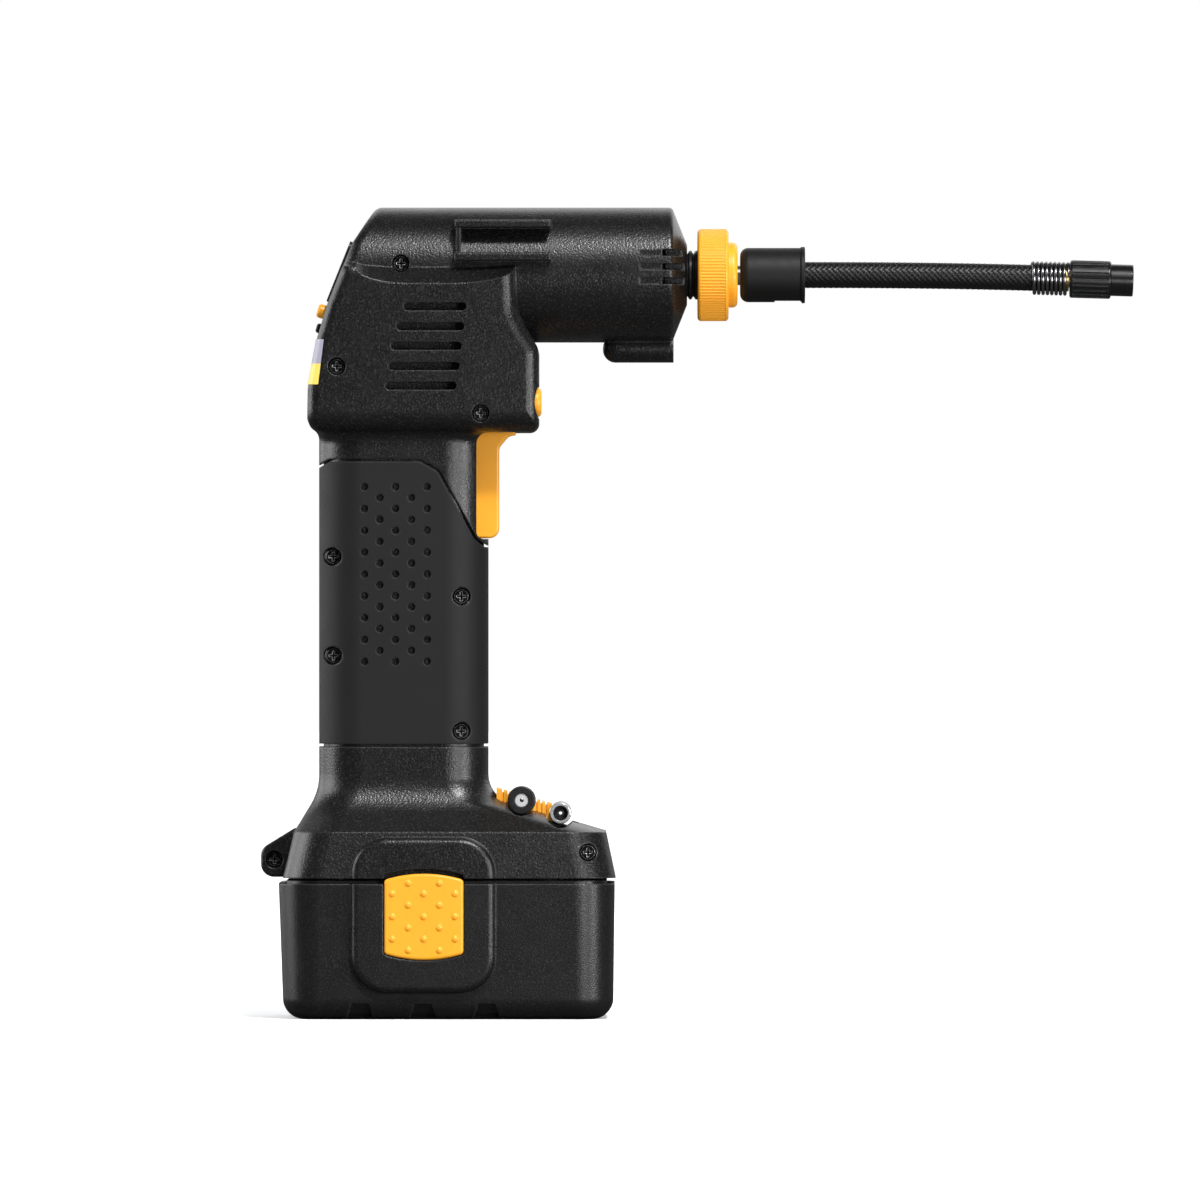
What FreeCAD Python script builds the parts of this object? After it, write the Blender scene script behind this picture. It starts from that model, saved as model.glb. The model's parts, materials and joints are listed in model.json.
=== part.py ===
import FreeCAD, Part
import math
import os
from FreeCAD import Vector

# Cordless tire inflator, standing on its battery. Millimetres.
# Origin: centre of the battery's bottom face. +X: the way the barrel points. +Z: up.
# The halves of the housing meet on the plane Y = 0; "right" is the -Y side.

# ---------------------------------------------------------------- driving dimensions
WALL = 2.4                  # moulded wall of the housing and the battery case
GAP = 0.3                   # clearance between parts that move past each other
FIT = 0.05                  # radial running fit of a shaft in its bore

AXIS_Z = 247.3              # barrel, piston and outlet axis
BARREL_R = 22.5
BARREL_FRONT = 74.8
NOSE_FRONT = 79.8
NOSE_R = 10.0
LAMP_Z = 222.7              # axis of the lamp's pod under the barrel
LIGHT_BUTTON_Z = 204.9
THUMB_X = 41.0              # axis and radius of the hollow across the front, round the light button
THUMB_R = 11.9
SHOULDER_Y = 29.0           # half width of the motor housing
SHOULDER_EDGE = 4.5         # rounding of its side edges
SHOULDER_BELLY = 7.5        # rounding of its lower side edges
SHOULDER_LOW = 194.8
NECK_ROUND = 4.0            # hollow rounding between its underside and the handle
ROOF_Z = 251.5              # its sloping top leaves the barrel at about this height
ROOF_Y = 20.0
CREASE_LOW = 244.0          # line where the sloping top meets the side: lowest, and at its rear end
CREASE_HIGH = 249.4
CREASE_X = (-30.0, -13.0, 2.0)  # rear end of its dip, and the ends of its level stretch
REAR_EDGE = 3.8             # rounding all round the slanted rear face
SHIELD_Y = (20.0, 21.6)     # plates behind the shoulder's vents
CLIP_X = (2.5, 34.5)        # hose clip on the right of the barrel

HANDLE_REAR = -42.7
HANDLE_FRONT = 13.6
HANDLE_Y = 21.5
HANDLE_CORNER = 14.0
GRIP_SKIN = 1.5             # thickness of the soft grip panels
GRIP_GROOVE = 1.0           # groove round a grip panel

SKIRT_BOTTOM = 46.8
SKIRT_CREASE = 62.0         # the skirt's sides lean in up to here, then turn into the neck
SKIRT_REAR = -50.8
SKIRT_FRONT = 52.8
SKIRT_Y = 35.0
SKIRT_CORNER = 13.0
NECK_TOP = 81.0
NECK_REAR = (18.0, 33.0)    # radius and final slope of the flare behind, and at the sides
NECK_SIDE = (18.0, 50.0)
NECK_FRONT_R = 10.0
NECK_LEVELS = (SKIRT_CREASE, 67.2, 68.2, 69.2, 70.3, 71.4, 72.0, 72.8, 73.6, 74.5, 75.5, 76.6, 77.8,
               79.2, NECK_TOP)

BATTERY_TOP = 45.0
BATTERY_REAR = -55.8
BATTERY_FRONT = 55.7
BATTERY_Y = 38.0
BATTERY_TAPER = 1.2         # each side draws in by this at the bottom
TOWER_X = (-36.5, -1.0)     # stem of the battery, inside the handle
TOWER_Y = 14.0
TOWER_TOP = 100.0
LID_LOW = 42.0
CONTACT_X = (-28.0, -9.5)

LATCH_X = -7.5              # middle of the latch button
LATCH_HALF = 13.1
LATCH_LOW = 19.9
LATCH_HIGH = 48.4
LATCH_SAG = 2.0             # height of the arched ends
LATCH_CORNER = 1.4
LATCH_FACE_Y = 41.0
LATCH_TONGUE = 2.4          # thickness of its upper end, over the skirt
LATCH_BACKING = 35.9        # the skirt closes behind the upper end at this depth
POD_X = (-31.6, 16.1)       # raised surround of the latch
POD_LOW = 8.8
POD_TOP = 60.3
POD_Y = 40.4
POD_CORNER = 12.0
POD_EDGE = 2.2

MOTOR_X = -17.5
MOTOR_R = 14.0
MOTOR_BOTTOM = 171.0
MOTOR_TOP = 226.0
MODULE = 0.8                # of the reduction gears
PINION_TEETH = 10
GEAR_TEETH = 36
GEAR_X = MOTOR_X + MODULE * (PINION_TEETH + GEAR_TEETH) / 2 + 0.1
SHAFT_R = 1.6
AXLE_R = 2.5
GEAR_BOTTOM = 230.0
GEAR_TOP = 235.5
CRANK_R = 6.0               # half of the piston's stroke
PISTON_R = 9.95
BORE_R = 10.0
CYLINDER_R = 12.2
CYLINDER_X = (22.4, 62.0)
HEAD_FRONT = 68.0

STUB_R = 7.2                # root of the outlet thread
THREAD_R = 8.15
THREAD_PITCH = 2.0
COLLAR_X = (83.3, 93.6)
COLLAR_R = 15.35
COLLAR_DOME = 96.6
KNURLS = 91

HOSE_D = 8.8
HOSE_ROUTE = (              # centreline of the hose, drooping a little
    (103.0, 0.0, AXIS_Z),
    (129.0, 0.0, 247.35),
    (158.0, 0.0, 247.15),
    (184.0, 0.0, 246.7),
    (205.0, 0.0, 246.1),
)
BOOT_X = (97.5, 119.1)
BOOT_R = 9.05
CHUCK_X = (2.4, 16.1)       # splined sleeve, counted from the hose's end
TIP_END = 23.5
CHUCK_R = 6.3
TIP_R = 5.3
VALVE_R = 3.85
SPLINES = 20

TRIGGER_FACE = 17.2
TRIGGER_BACK = 9.7
TRIGGER_LOW = 159.6
TRIGGER_HIGH = 196.0
TRIGGER_Y = 9.0
SWITCH_X = (-22.0, -6.0)

SCREW_R = 2.8
SCREW_SINK = 4.2            # seat of a screw head, below the skin around it
SCREWS = (                  # x, z, depth of the skin there, length of the shank
    (-37.9, 153.4, -18.1, 14.0),
    (4.7, 140.2, -20.5, 14.0),
    (-37.8, 120.5, -18.1, 14.0),
    (4.7, 95.4, -20.5, 14.0),
    (-15.3, 250.8, -22.2, 14.0),
    (-36.5, 216.5, -29.0, 14.0),
    (11.3, 201.0, -29.0, 14.0),
    (46.8, 55.4, -35.1, 14.0),
    (-57.6, 52.7, -7.0, 9.0),
)
TAB_AT = (-57.6, 52.7)      # strap ear
POST_R = 3.8

YELLOW_ALONG = 3.3          # places of the two rear buttons along their slanted face
BLACK_ALONG = -2.4

NEEDLE_AT = (24.8, 72.5)    # ball needle adapter, axis along Y
VALVE_AT = (37.7, 68.2)     # bicycle valve adapter, axis along Y
SLOPE = (52.8, 62.1, 16.1)  # a point of the front slope and its angle in degrees

Y_AXIS = Vector(0, 1, 0)
X_AXIS = Vector(1, 0, 0)
Z_AXIS = Vector(0, 0, 1)
ORIGIN = Vector(0, 0, 0)

saved = []


# ---------------------------------------------------------------- helpers
def box(x0, x1, y0, y1, z0, z1):
    return Part.makeBox(x1 - x0, y1 - y0, z1 - z0, Vector(x0, y0, z0))


def rod(start, end, radius):
    start = Vector(*start)
    along = Vector(*end) - start
    return Part.makeCylinder(radius, along.Length, start, along)


def fuse(shapes):
    shapes = list(shapes)
    whole = shapes[0].multiFuse(shapes[1:]) if len(shapes) > 1 else shapes[0]
    return whole.removeSplitter()


def compound(shapes):
    solids = []
    for shape in shapes:
        solids.extend(shape.Solids)
    return Part.makeCompound(solids)


def both_sides(shape):
    """The shape and its mirror image across the plane Y = 0."""
    return [shape, shape.mirror(ORIGIN, Y_AXIS)]


def rounded_wire(corners):
    """Closed wire through (point, radius) corners, each rounded by its own radius."""
    cuts = []
    count = len(corners)
    for i, (point, radius) in enumerate(corners):
        back = (corners[i - 1][0] - point).normalize()
        ahead = (corners[(i + 1) % count][0] - point).normalize()
        if radius <= 0:
            cuts.append((point, None, point))
            continue
        half = back.getAngle(ahead) / 2
        reach = radius / math.tan(half)
        middle = point + (back + ahead).normalize() * (radius / math.sin(half) - radius)
        cuts.append((point + back * reach, middle, point + ahead * reach))
    edges = []
    for i, (enter, middle, leave) in enumerate(cuts):
        if middle is not None:
            edges.append(Part.Arc(enter, middle, leave).toShape())
        following = cuts[(i + 1) % count][0]
        if leave.distanceToPoint(following) > 1e-4:
            edges.append(Part.LineSegment(leave, following).toShape())
    return Part.Wire(edges)


def slab(corners, y0, y1):
    """Outline of (x, z) or (x, z, radius) corners, drawn out along Y from y0 to y1."""
    placed = [(Vector(c[0], y0, c[1]), c[2] if len(c) > 2 else 0) for c in corners]
    return Part.Face(rounded_wire(placed)).extrude(Vector(0, y1 - y0, 0))


def turned(profile, axis_z=AXIS_Z):
    """Profile of (x, r) or (x, r, radius) corners, turned about the axis along X."""
    placed = [(Vector(c[0], 0, axis_z + c[1]), c[2] if len(c) > 2 else 0) for c in profile]
    return Part.Face(rounded_wire(placed)).revolve(Vector(0, 0, axis_z), X_AXIS, 360)


def ring_section(x0, x1, half_y, z, corner):
    """Rounded rectangle at height z."""
    return rounded_wire([
        (Vector(x0, -half_y, z), corner),
        (Vector(x1, -half_y, z), corner),
        (Vector(x1, half_y, z), corner),
        (Vector(x0, half_y, z), corner),
    ])


def upright(x0, x1, half_y, z0, z1, corner):
    """Rounded rectangle drawn up from z0 to z1."""
    return Part.Face(ring_section(x0, x1, half_y, z0, corner)).extrude(Vector(0, 0, z1 - z0))


def softened(shape, radius, keep):
    """Rounds the edges for which keep(edge) is true."""
    edges = [edge for edge in shape.Edges if keep(edge)]
    return shape.makeFillet(radius, edges)


def lies_at(edge, axis, value, slack=0.01):
    limits = edge.BoundBox
    low = getattr(limits, axis + "Min")
    high = getattr(limits, axis + "Max")
    return abs(low - value) < slack and abs(high - value) < slack


def save(node, shape):
    solids = shape.Solids
    volume = sum(solid.Volume for solid in solids)
    bad = [i for i, solid in enumerate(solids) if not solid.isValid() or solid.Volume <= 0]
    out = solids[0] if len(solids) == 1 else Part.makeCompound(solids)
    out.exportStep("parts/" + node + ".step")
    saved.append(node)
    print(f"{node:24s} solids {len(solids):3d} volume {volume:10.1f}" + (f" BAD {bad}" if bad else ""))


# ---------------------------------------------------------------- outer form of the housing
def head_profile(inset):
    """Side outline of the head: the slanted rear face, and open ends elsewhere."""
    rear = (
        (-23.2, 270.5), (-31.5, 257.7), (-39.8, 237.0), (-43.2, 225.7), (-46.2, 209.3),
        (-46.4, 199.0), (-44.4, 193.6), (-42.7, 188.0),
    )
    corners = [(x + inset * 1.06, z, 3.0 if 195 < z < 260 else 0) for x, z in rear]
    corners += [(HANDLE_REAR + inset * 1.06, 150.0), (120.0, 150.0), (120.0, 275.0), (-20.5, 275.0)]
    return slab(corners, -40, 40)


def barrel(inset):
    radius = BARREL_R - inset
    if inset:
        front = [(BARREL_FRONT - inset, radius), (BARREL_FRONT - inset, 0)]
    else:
        front = [(BARREL_FRONT, radius, 1.5), (NOSE_FRONT, NOSE_R, 0.8), (NOSE_FRONT, 0)]
    return turned([(-60, 0), (-60, radius)] + front)


def crease_z(x):
    """Height of the shoulder's crease: a quarter of an ellipse, a level stretch and a slow rise."""
    rear, level, rise = CREASE_X
    if x <= rear:
        return CREASE_HIGH
    if x < level:
        share = (level - x) / (level - rear)
        return CREASE_HIGH - (CREASE_HIGH - CREASE_LOW) * math.sqrt(1 - share * share)
    return CREASE_LOW + 0.0075 * max(0.0, x - rise) ** 2


def above_roof(side, lift):
    """What lies above the shoulder's sloping top, on one side of the barrel."""
    top = ROOF_Z - lift
    outer_y = SHOULDER_Y + 1.5
    slope = (outer_y - ROOF_Y) / (SHOULDER_Y - ROOF_Y)
    sections = []
    for x in (-60, -30, -29.3, -28, -26, -23.5, -21, -18, -13, 2, 7, 12, 17, 22, 60):
        low = top - (ROOF_Z - crease_z(x)) * slope
        corners = [Vector(x, side * ROOF_Y, top), Vector(x, side * outer_y, low),
                   Vector(x, side * outer_y, 280), Vector(x, side * ROOF_Y, 280)]
        sections.append(Part.makePolygon(corners + corners[:1]))
    return Part.makeLoft(sections, True, True)


def shoulder(inset):
    """Wide lower head, round the motor and the gears."""
    low = SHOULDER_LOW + inset
    corners = [
        (-60.0, ROOF_Z - inset),
        (22.5 - inset, ROOF_Z - inset, 1.6),
        (23.0 - inset, 235.0, 12),
        (27.0 - inset, 227.5, 8),
        (30.5 - inset, 222.5, 6),
        (30.5 - inset, low, 3.2),
        (-60.0, low),
    ]
    half = SHOULDER_Y - inset
    block = slab(corners, -half, half)
    if not inset:
        block = softened(block, SHOULDER_EDGE, lambda e: lies_at(e, "Y", -half) or lies_at(e, "Y", half))
    section = rounded_wire([
        (Vector(-70, -half, low), SHOULDER_BELLY - inset),
        (Vector(-70, half, low), SHOULDER_BELLY - inset),
        (Vector(-70, half, 260), 0),
        (Vector(-70, -half, 260), 0),
    ])
    return block.common(Part.Face(section).extrude(Vector(140, 0, 0)))


def on_rear_edge(edge):
    """Whether an edge runs along the sides of the slanted rear face."""
    limits = edge.BoundBox
    return limits.XMax < -20 and max(limits.XLength, limits.ZLength) > 0.5


def head(inset):
    whole = barrel(inset).fuse(shoulder(inset)).common(head_profile(inset))
    if not inset:
        whole = softened(whole, REAR_EDGE, on_rear_edge)
    tube = rod((-60, 0, AXIS_Z), (60, 0, AXIS_Z), BARREL_R - inset)
    whole = whole.cut(Part.makeCompound([above_roof(side, inset).cut(tube) for side in (-1, 1)]))
    if inset:
        return whole
    pod = turned([(51.8, 0), (51.8, 4.6, 4.2), (75.3, 4.6), (75.3, 0)], LAMP_Z)
    return fuse([whole, pod])


def handle(inset):
    return upright(HANDLE_REAR + inset, HANDLE_FRONT - inset, HANDLE_Y - inset, 66.0, 200.0,
                   HANDLE_CORNER - inset)


def flare(drop, radius, degrees):
    """How far a side stands out at drop below the neck's top: an arc, then a straight slope."""
    turn = math.radians(degrees)
    arc_drop = radius * math.sin(turn)
    if drop < arc_drop:
        return radius - math.sqrt(radius * radius - drop * drop)
    return radius * (1 - math.cos(turn)) + (drop - arc_drop) * math.tan(turn)


def base(inset):
    """Skirt over the battery, and the flaring neck from its front slope up to the handle."""
    def section(x0, x1, half_y, z, corner):
        return ring_section(x0 + inset, x1 - inset, half_y - inset, z, corner - inset)

    low = SKIRT_BOTTOM - (6.0 if inset else 0)
    spread = (SKIRT_BOTTOM - low) * 0.24
    crease = section(SKIRT_REAR, SKIRT_FRONT, SKIRT_Y, SKIRT_CREASE - inset, SKIRT_CORNER)
    rim = section(SKIRT_REAR - 3.6 - spread, SKIRT_FRONT + 3.2 + spread, SKIRT_Y + 3.0 + spread, low,
                  SKIRT_CORNER)
    skirt = Part.makeLoft([rim, crease], True, True)
    front_slope = 90 - SLOPE[2]
    full = [flare(NECK_TOP - SKIRT_CREASE, radius, angle) for radius, angle in (NECK_REAR, NECK_SIDE)]
    wires = []
    for z in NECK_LEVELS:
        drop = NECK_TOP - z
        rear = flare(drop, *NECK_REAR) / full[0]
        side = flare(drop, *NECK_SIDE) / full[1]
        wires.append(section(
            HANDLE_REAR + (SKIRT_REAR - HANDLE_REAR) * rear,
            min(HANDLE_FRONT + flare(drop, NECK_FRONT_R, front_slope), SKIRT_FRONT),
            HANDLE_Y + (SKIRT_Y - HANDLE_Y) * side,
            z - inset,
            HANDLE_CORNER + (SKIRT_CORNER - HANDLE_CORNER) * side,
        ))
    return skirt.fuse(Part.makeLoft(wires, True, True))


def latch_surround(z0, z1):
    """Raised surround of the right latch button between two heights, drawn in from its face."""
    low = max(z0, POD_LOW)
    high = min(z1, POD_TOP)
    corners = [
        (POD_X[0], low, POD_CORNER if z0 < POD_LOW else 0),
        (POD_X[0], high, POD_CORNER if z1 > POD_TOP else 0),
        (POD_X[1], high, POD_CORNER if z1 > POD_TOP else 0),
        (POD_X[1], low, POD_CORNER if z0 < POD_LOW else 0),
    ]
    block = slab(corners, -POD_Y, -31.0)
    return softened(block, POD_EDGE, lambda e: lies_at(e, "Y", -POD_Y) and not lies_at(e, "Z", SKIRT_BOTTOM)
                    and not lies_at(e, "Z", BATTERY_TOP))


def tab():
    """Strap ear behind the skirt."""
    x, z = TAB_AT
    r = 4.5
    ear = slab([(x - r, z - r - 1.4, 4.4), (-48.0, z - r - 1.4), (-47.0, 63.5), (-51.0, 63.0, 1.5),
                (x - r, z + r - 1.0, 4.0)], -7.0, 7.0)
    return softened(ear, 1.0, lambda e: lies_at(e, "Y", -7.0) or lies_at(e, "Y", 7.0))


def under_shoulder(edge):
    """Whether an edge is where the handle meets the shoulder's underside."""
    limits = edge.BoundBox
    within_x = HANDLE_REAR < limits.XMin and limits.XMax < HANDLE_FRONT + 0.1
    within_y = max(abs(limits.YMin), abs(limits.YMax)) < HANDLE_Y + 0.1
    return lies_at(edge, "Z", SHOULDER_LOW) and within_x and within_y


def housing_outer():
    body = fuse([head(0), handle(0), base(0), tab()])
    body = softened(body, NECK_ROUND, under_shoulder)
    return fuse([body] + both_sides(latch_surround(SKIRT_BOTTOM, POD_TOP + 1)))


def housing_cavity():
    return fuse([head(WALL), handle(WALL), base(WALL)])


# ---------------------------------------------------------------- openings in the housing
def stadium_slot(x0, x1, z, height, y0, y1):
    r = height / 2 - 0.001
    return slab([(x0, z - height / 2, r), (x1, z - height / 2, r), (x1, z + height / 2, r),
                 (x0, z + height / 2, r)], y0, y1)


def shoulder_vents():
    rows = ((-14.3, 6.5, 236.4), (-16.7, 5.8, 229.8), (-18.5, 5.0, 223.3), (-19.4, 4.3, 216.6),
            (-20.4, 3.3, 210.1))
    return [stadium_slot(x0, x1, z, 2.7, -40, -24) for x0, x1, z in rows]


def vent_shield():
    """Plate that stands behind the right vents on two ribs, and keeps dirt off the motor."""
    inner, outer = SHIELD_Y
    x0, x1, z0, z1 = -26.0, 12.0, 204.0, 241.0
    plate = box(x0, x1, -outer, -inner, z0, z1)
    ribs = [box(x, x + 1.6, -27.5, -inner, z0, z1) for x in (x0, x1 - 1.6)]
    return fuse([plate] + ribs)


def nose_vents():
    cuts = []
    for z in (254.4, 249.7, 245.0):
        cuts.append(box(64.0, 90.0, -30, -21.0, z - 1.1, z + 1.1))
        cuts.append(box(71.5, 90.0, -30, -12.0, z - 1.1, z + 1.1))
    return cuts


def grip_outline(grow):
    """Side outline of a grip panel, grown by the given margin."""
    g = grow
    return [
        (-60.0, 90.7 - g), (60.0, 90.7 - g), (60.0, 156.8 + g), (12.6 + g, 156.8 + g * 0.4, 3.0),
        (9.4 + g * 0.9, 159.6 + g * 0.5, 2.0), (-2.8 + g * 0.9, 182.0 + g * 0.5, 4.0),
        (-9.0, 185.5 + g, 4.0), (-39.0, 185.5 + g, 3.0), (-43.5, 183.0 + g), (-60.0, 183.0 + g),
    ]


def handle_skin(depth):
    return handle(0).cut(handle(depth))


def trigger_window(grow):
    """The opening in the front of the handle that the trigger moves in."""
    return softened(
        box(0, 24.0, -TRIGGER_Y - grow, TRIGGER_Y + grow, TRIGGER_LOW - grow, TRIGGER_HIGH + grow),
        0.9, lambda e: e.BoundBox.XLength > 20 and e.BoundBox.ZMax < TRIGGER_HIGH - 5)


def face_frame(x, z, tilt):
    """Placement whose local Z points out of a rear face that leans back by tilt degrees."""
    return FreeCAD.Placement(Vector(x, 0, z), FreeCAD.Rotation(Y_AXIS, -90 + tilt))


GAUGE_FACE = face_frame(-35.35, 248.1, 21.8)      # middle of the upper slanted face
BUTTON_FACE = face_frame(-41.4, 231.6, 17.0)       # lower slanted face, between its buttons


def on_face(shape, frame):
    shape = shape.copy()
    shape.Placement = frame.multiply(shape.Placement)
    return shape


def face_block(length, width, z0, z1, corner, along=0.0):
    """Block on a rear face: length runs down the slope, width across, z out of the face."""
    block = upright(along - length / 2, along + length / 2, width / 2, z0, z1, corner)
    return block


def screw_posts(right):
    posts = []
    for x, z, skin, _ in SCREWS:
        if x < -50:
            continue
        post = rod((x, skin - 2, z), (x, 0, z), POST_R)
        posts.append(post if right else post.mirror(ORIGIN, Y_AXIS))
    return posts


def screw_cuts():
    cuts = []
    for x, z, skin, length in SCREWS:
        seat = skin + SCREW_SINK
        cuts.append(rod((x, skin - 6, z), (x, seat, z), SCREW_R + 0.1))
        cuts.append(rod((x, seat, z), (x, seat + length + 0.2, z), 1.5))
    return cuts


def clip_lips():
    """Two lips on the barrel's right side that the hose snaps between."""
    lips = []
    for z0, z1, reach in ((262.7, 265.3, 24.5), (251.6, 254.3, 26.6)):
        lip = box(CLIP_X[0], CLIP_X[1], -reach, -13.0, z0, z1)
        lips.append(softened(lip, 0.6, lambda e: lies_at(e, "Y", -reach)))
    lips.append(box(CLIP_X[0] + 0.5, CLIP_X[0] + 2.1, -24.0, -13.0, 254.0, 263.0))
    return lips


def make_housing():
    outer = fuse([housing_outer()] + clip_lips())
    cavity = housing_cavity()
    shell = outer.cut(cavity)
    cuts = shoulder_vents() + nose_vents()
    cuts = [c for cut in cuts for c in both_sides(cut)]
    groove = handle_skin(GRIP_SKIN).common(slab(grip_outline(GRIP_GROOVE / 2), -30, 30))
    cuts.append(groove)
    # the front of the handle is cut flat behind the trigger
    under = SHOULDER_LOW - 0.01
    cuts.append(slab([(TRIGGER_BACK, TRIGGER_LOW - GAP, 2.5), (40, TRIGGER_LOW - GAP), (40, under),
                      (TRIGGER_BACK, under, 4.0)], -30, 30))
    flat_front = slab([(TRIGGER_BACK - WALL, 155.0), (TRIGGER_BACK, 155.0), (TRIGGER_BACK, 196.0),
                       (TRIGGER_BACK - WALL, 196.0)], -16.2, 16.2)
    shell = shell.cut(cuts[-1]).fuse(flat_front)
    cuts.append(trigger_window(GAP))
    # light button's scoop and hole
    scoop = rod((33.5, 0, LIGHT_BUTTON_Z), (29.4, 0, LIGHT_BUTTON_Z), 8.0)
    cuts.append(scoop.common(box(20, 40, -7, 7, 199.0, 210.8)))
    cuts.append(rod((20.0, 0, LIGHT_BUTTON_Z), (40, 0, LIGHT_BUTTON_Z), 5.0 + GAP))
    cuts.append(rod((THUMB_X, -40, LIGHT_BUTTON_Z), (THUMB_X, 40, LIGHT_BUTTON_Z), THUMB_R))
    # window of the gauge and holes of the rear buttons
    cuts.append(on_face(face_block(19.4, 27.4, -6.0, 4.0, 2.0), GAUGE_FACE))
    cuts.append(on_face(face_block(4.6 + 2 * GAP, 9.0 + 2 * GAP, -6.0, 4.0, 2.2, YELLOW_ALONG), BUTTON_FACE))
    cuts.append(on_face(face_block(3.2 + 2 * GAP, 8.0 + 2 * GAP, -6.0, 4.0, 0.6, BLACK_ALONG), BUTTON_FACE))
    # outlet through the nose, lamp pocket in the pod
    cuts.append(rod((BARREL_FRONT - 6, 0, AXIS_Z), (NOSE_FRONT + 1, 0, AXIS_Z), THREAD_R + 0.15))
    cuts.append(rod((64.0, 0, LAMP_Z), (76.0, 0, LAMP_Z), 3.6))
    # room for the adapters in the front slope, and the seat of their clip strip
    cuts.append(clip_strip_block(0.05, 0.02))
    cuts.append(rod((VALVE_AT[0], -45, VALVE_AT[1]), (VALVE_AT[0], 45, VALVE_AT[1]), 4.9))
    cuts.append(rod((NEEDLE_AT[0], -45, NEEDLE_AT[1]), (NEEDLE_AT[0], 45, NEEDLE_AT[1]), 5.2))
    # latch buttons reach up into the skirt, with a thin crescent of room over them
    window = latch_block(GAP, -45.0, -LATCH_BACKING)
    raised = window.copy()
    raised.translate(Vector(0, 0, 1.4))
    half = LATCH_HALF + 2
    backing = box(LATCH_X - half, LATCH_X + half, -LATCH_BACKING, -33.9, SKIRT_BOTTOM, 53.0)
    shell = shell.fuse(both_sides(backing) + both_sides(vent_shield()))
    cuts += both_sides(window.fuse(raised))
    # floor under the clip strip keeps the slope closed
    floor = clip_strip_block(0.0, 2.2).cut(clip_strip_block(0.05, 0.02)).common(base(0))
    shell = shell.cut(Part.makeCompound(cuts))
    floor = floor.cut(rod((VALVE_AT[0], -45, VALVE_AT[1]), (VALVE_AT[0], 45, VALVE_AT[1]), 3.9))
    shell = shell.fuse(floor)
    halves = {}
    big = 400
    for name, right in (("right_housing", True), ("left_housing", False)):
        side = box(-big, big, -big if right else 0, 0 if right else big, -big, big)
        half = shell.common(side)
        posts = fuse(screw_posts(right)).common(outer.cut(groove).cut(trigger_window(GAP)))
        half = half.fuse(posts.common(side)).removeSplitter()
        half = half.cut(Part.makeCompound(screw_cuts()))
        halves[name] = half
    return halves


# ---------------------------------------------------------------- grip panels and screws
def perforations():
    holes = []
    for column, x in enumerate((-27.4, -22.3, -17.1, -11.8, -6.6)):
        staggered = column % 2
        for row in range(8 if staggered else 9):
            z = 176.6 - 7.25 * (row + 0.5 * staggered)
            holes.append(rod((x, -30, z), (x, -10, z), 1.25))
    return holes


def make_grip_panel():
    panel = handle_skin(GRIP_SKIN).common(slab(grip_outline(-GRIP_GROOVE / 2), -30, -0.5))
    cuts = perforations()
    for x, z, *_ in SCREWS[:4]:
        cuts.append(rod((x, -30, z), (x, -10, z), SCREW_R + 0.35))
    return panel.cut(Part.makeCompound(cuts))


def make_screws():
    screws = []
    for x, z, skin, length in SCREWS:
        seat = skin + SCREW_SINK
        head_disc = Part.makeCone(SCREW_R - 0.5, SCREW_R, 0.5, Vector(x, seat - 1.9, z), Y_AXIS)
        head_disc = head_disc.fuse(rod((x, seat - 1.4, z), (x, seat, z), SCREW_R))
        shank = rod((x, seat, z), (x, seat + length, z), 1.45)
        cross = [box(x - 1.5, x + 1.5, seat - 3, seat - 0.8, z - 0.35, z + 0.35),
                 box(x - 0.35, x + 0.35, seat - 3, seat - 0.8, z - 1.5, z + 1.5)]
        screws.append(head_disc.fuse(shank).cut(Part.makeCompound(cross)))
    return compound(screws)


# ---------------------------------------------------------------- rear gauge, buttons and board
def make_gauge():
    rim = face_block(21.4, 30.0, 0.02, 0.9, 2.5).fuse(face_block(19.2, 27.2, -3.0, 0.02, 2.0))
    rim = rim.cut(face_block(15.4, 23.2, -4.0, 2.0, 1.2)).cut(face_block(17.4, 25.2, -4.0, -0.6, 1.4))
    bezel = on_face(rim.removeSplitter(), GAUGE_FACE)
    lens = on_face(face_block(15.3, 23.1, -0.55, 0.6, 1.2), GAUGE_FACE)
    display = on_face(face_block(17.2, 25.0, -2.9, -0.65, 1.3), GAUGE_FACE)
    board = on_face(face_block(30.0, 27.0, -9.2, -7.6, 1.0, -4.0), GAUGE_FACE)
    sensor = on_face(face_block(7.0, 7.0, -11.2, -9.2, 0.8, 4.0), GAUGE_FACE)
    pins = on_face(face_block(2.0, 20.0, -7.6, -2.9, 0.4, 7.0), GAUGE_FACE)
    chip = on_face(face_block(6.0, 9.0, -11.0, -9.2, 0.4, -6.0), GAUGE_FACE)
    parts = compound([sensor, pins, chip])
    return bezel, lens, display, board, parts


def rear_button(length, width, corner, along, proud):
    cap = softened(face_block(length, width, -3.6, proud, corner, along), min(1.0, proud * 0.5),
                   lambda e: lies_at(e, "Z", proud))
    flange = face_block(length + 1.6, width + 3.0, -4.4, -3.6, corner, along)
    return on_face(cap.fuse(flange).removeSplitter(), BUTTON_FACE)


def make_label(outer):
    """Plain two-tone sticker across the rear of the head, bent round both of its edges."""
    thick = 0.25
    moved = outer.copy()
    moved.translate(Vector(-thick, 0, 0))
    area = slab([(-60, 210.5), (-42.7, 210.5), (-40.8, 225.5), (-60, 225.5)], -SHOULDER_Y, SHOULDER_Y)
    return moved.cut(outer).common(area)


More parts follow.
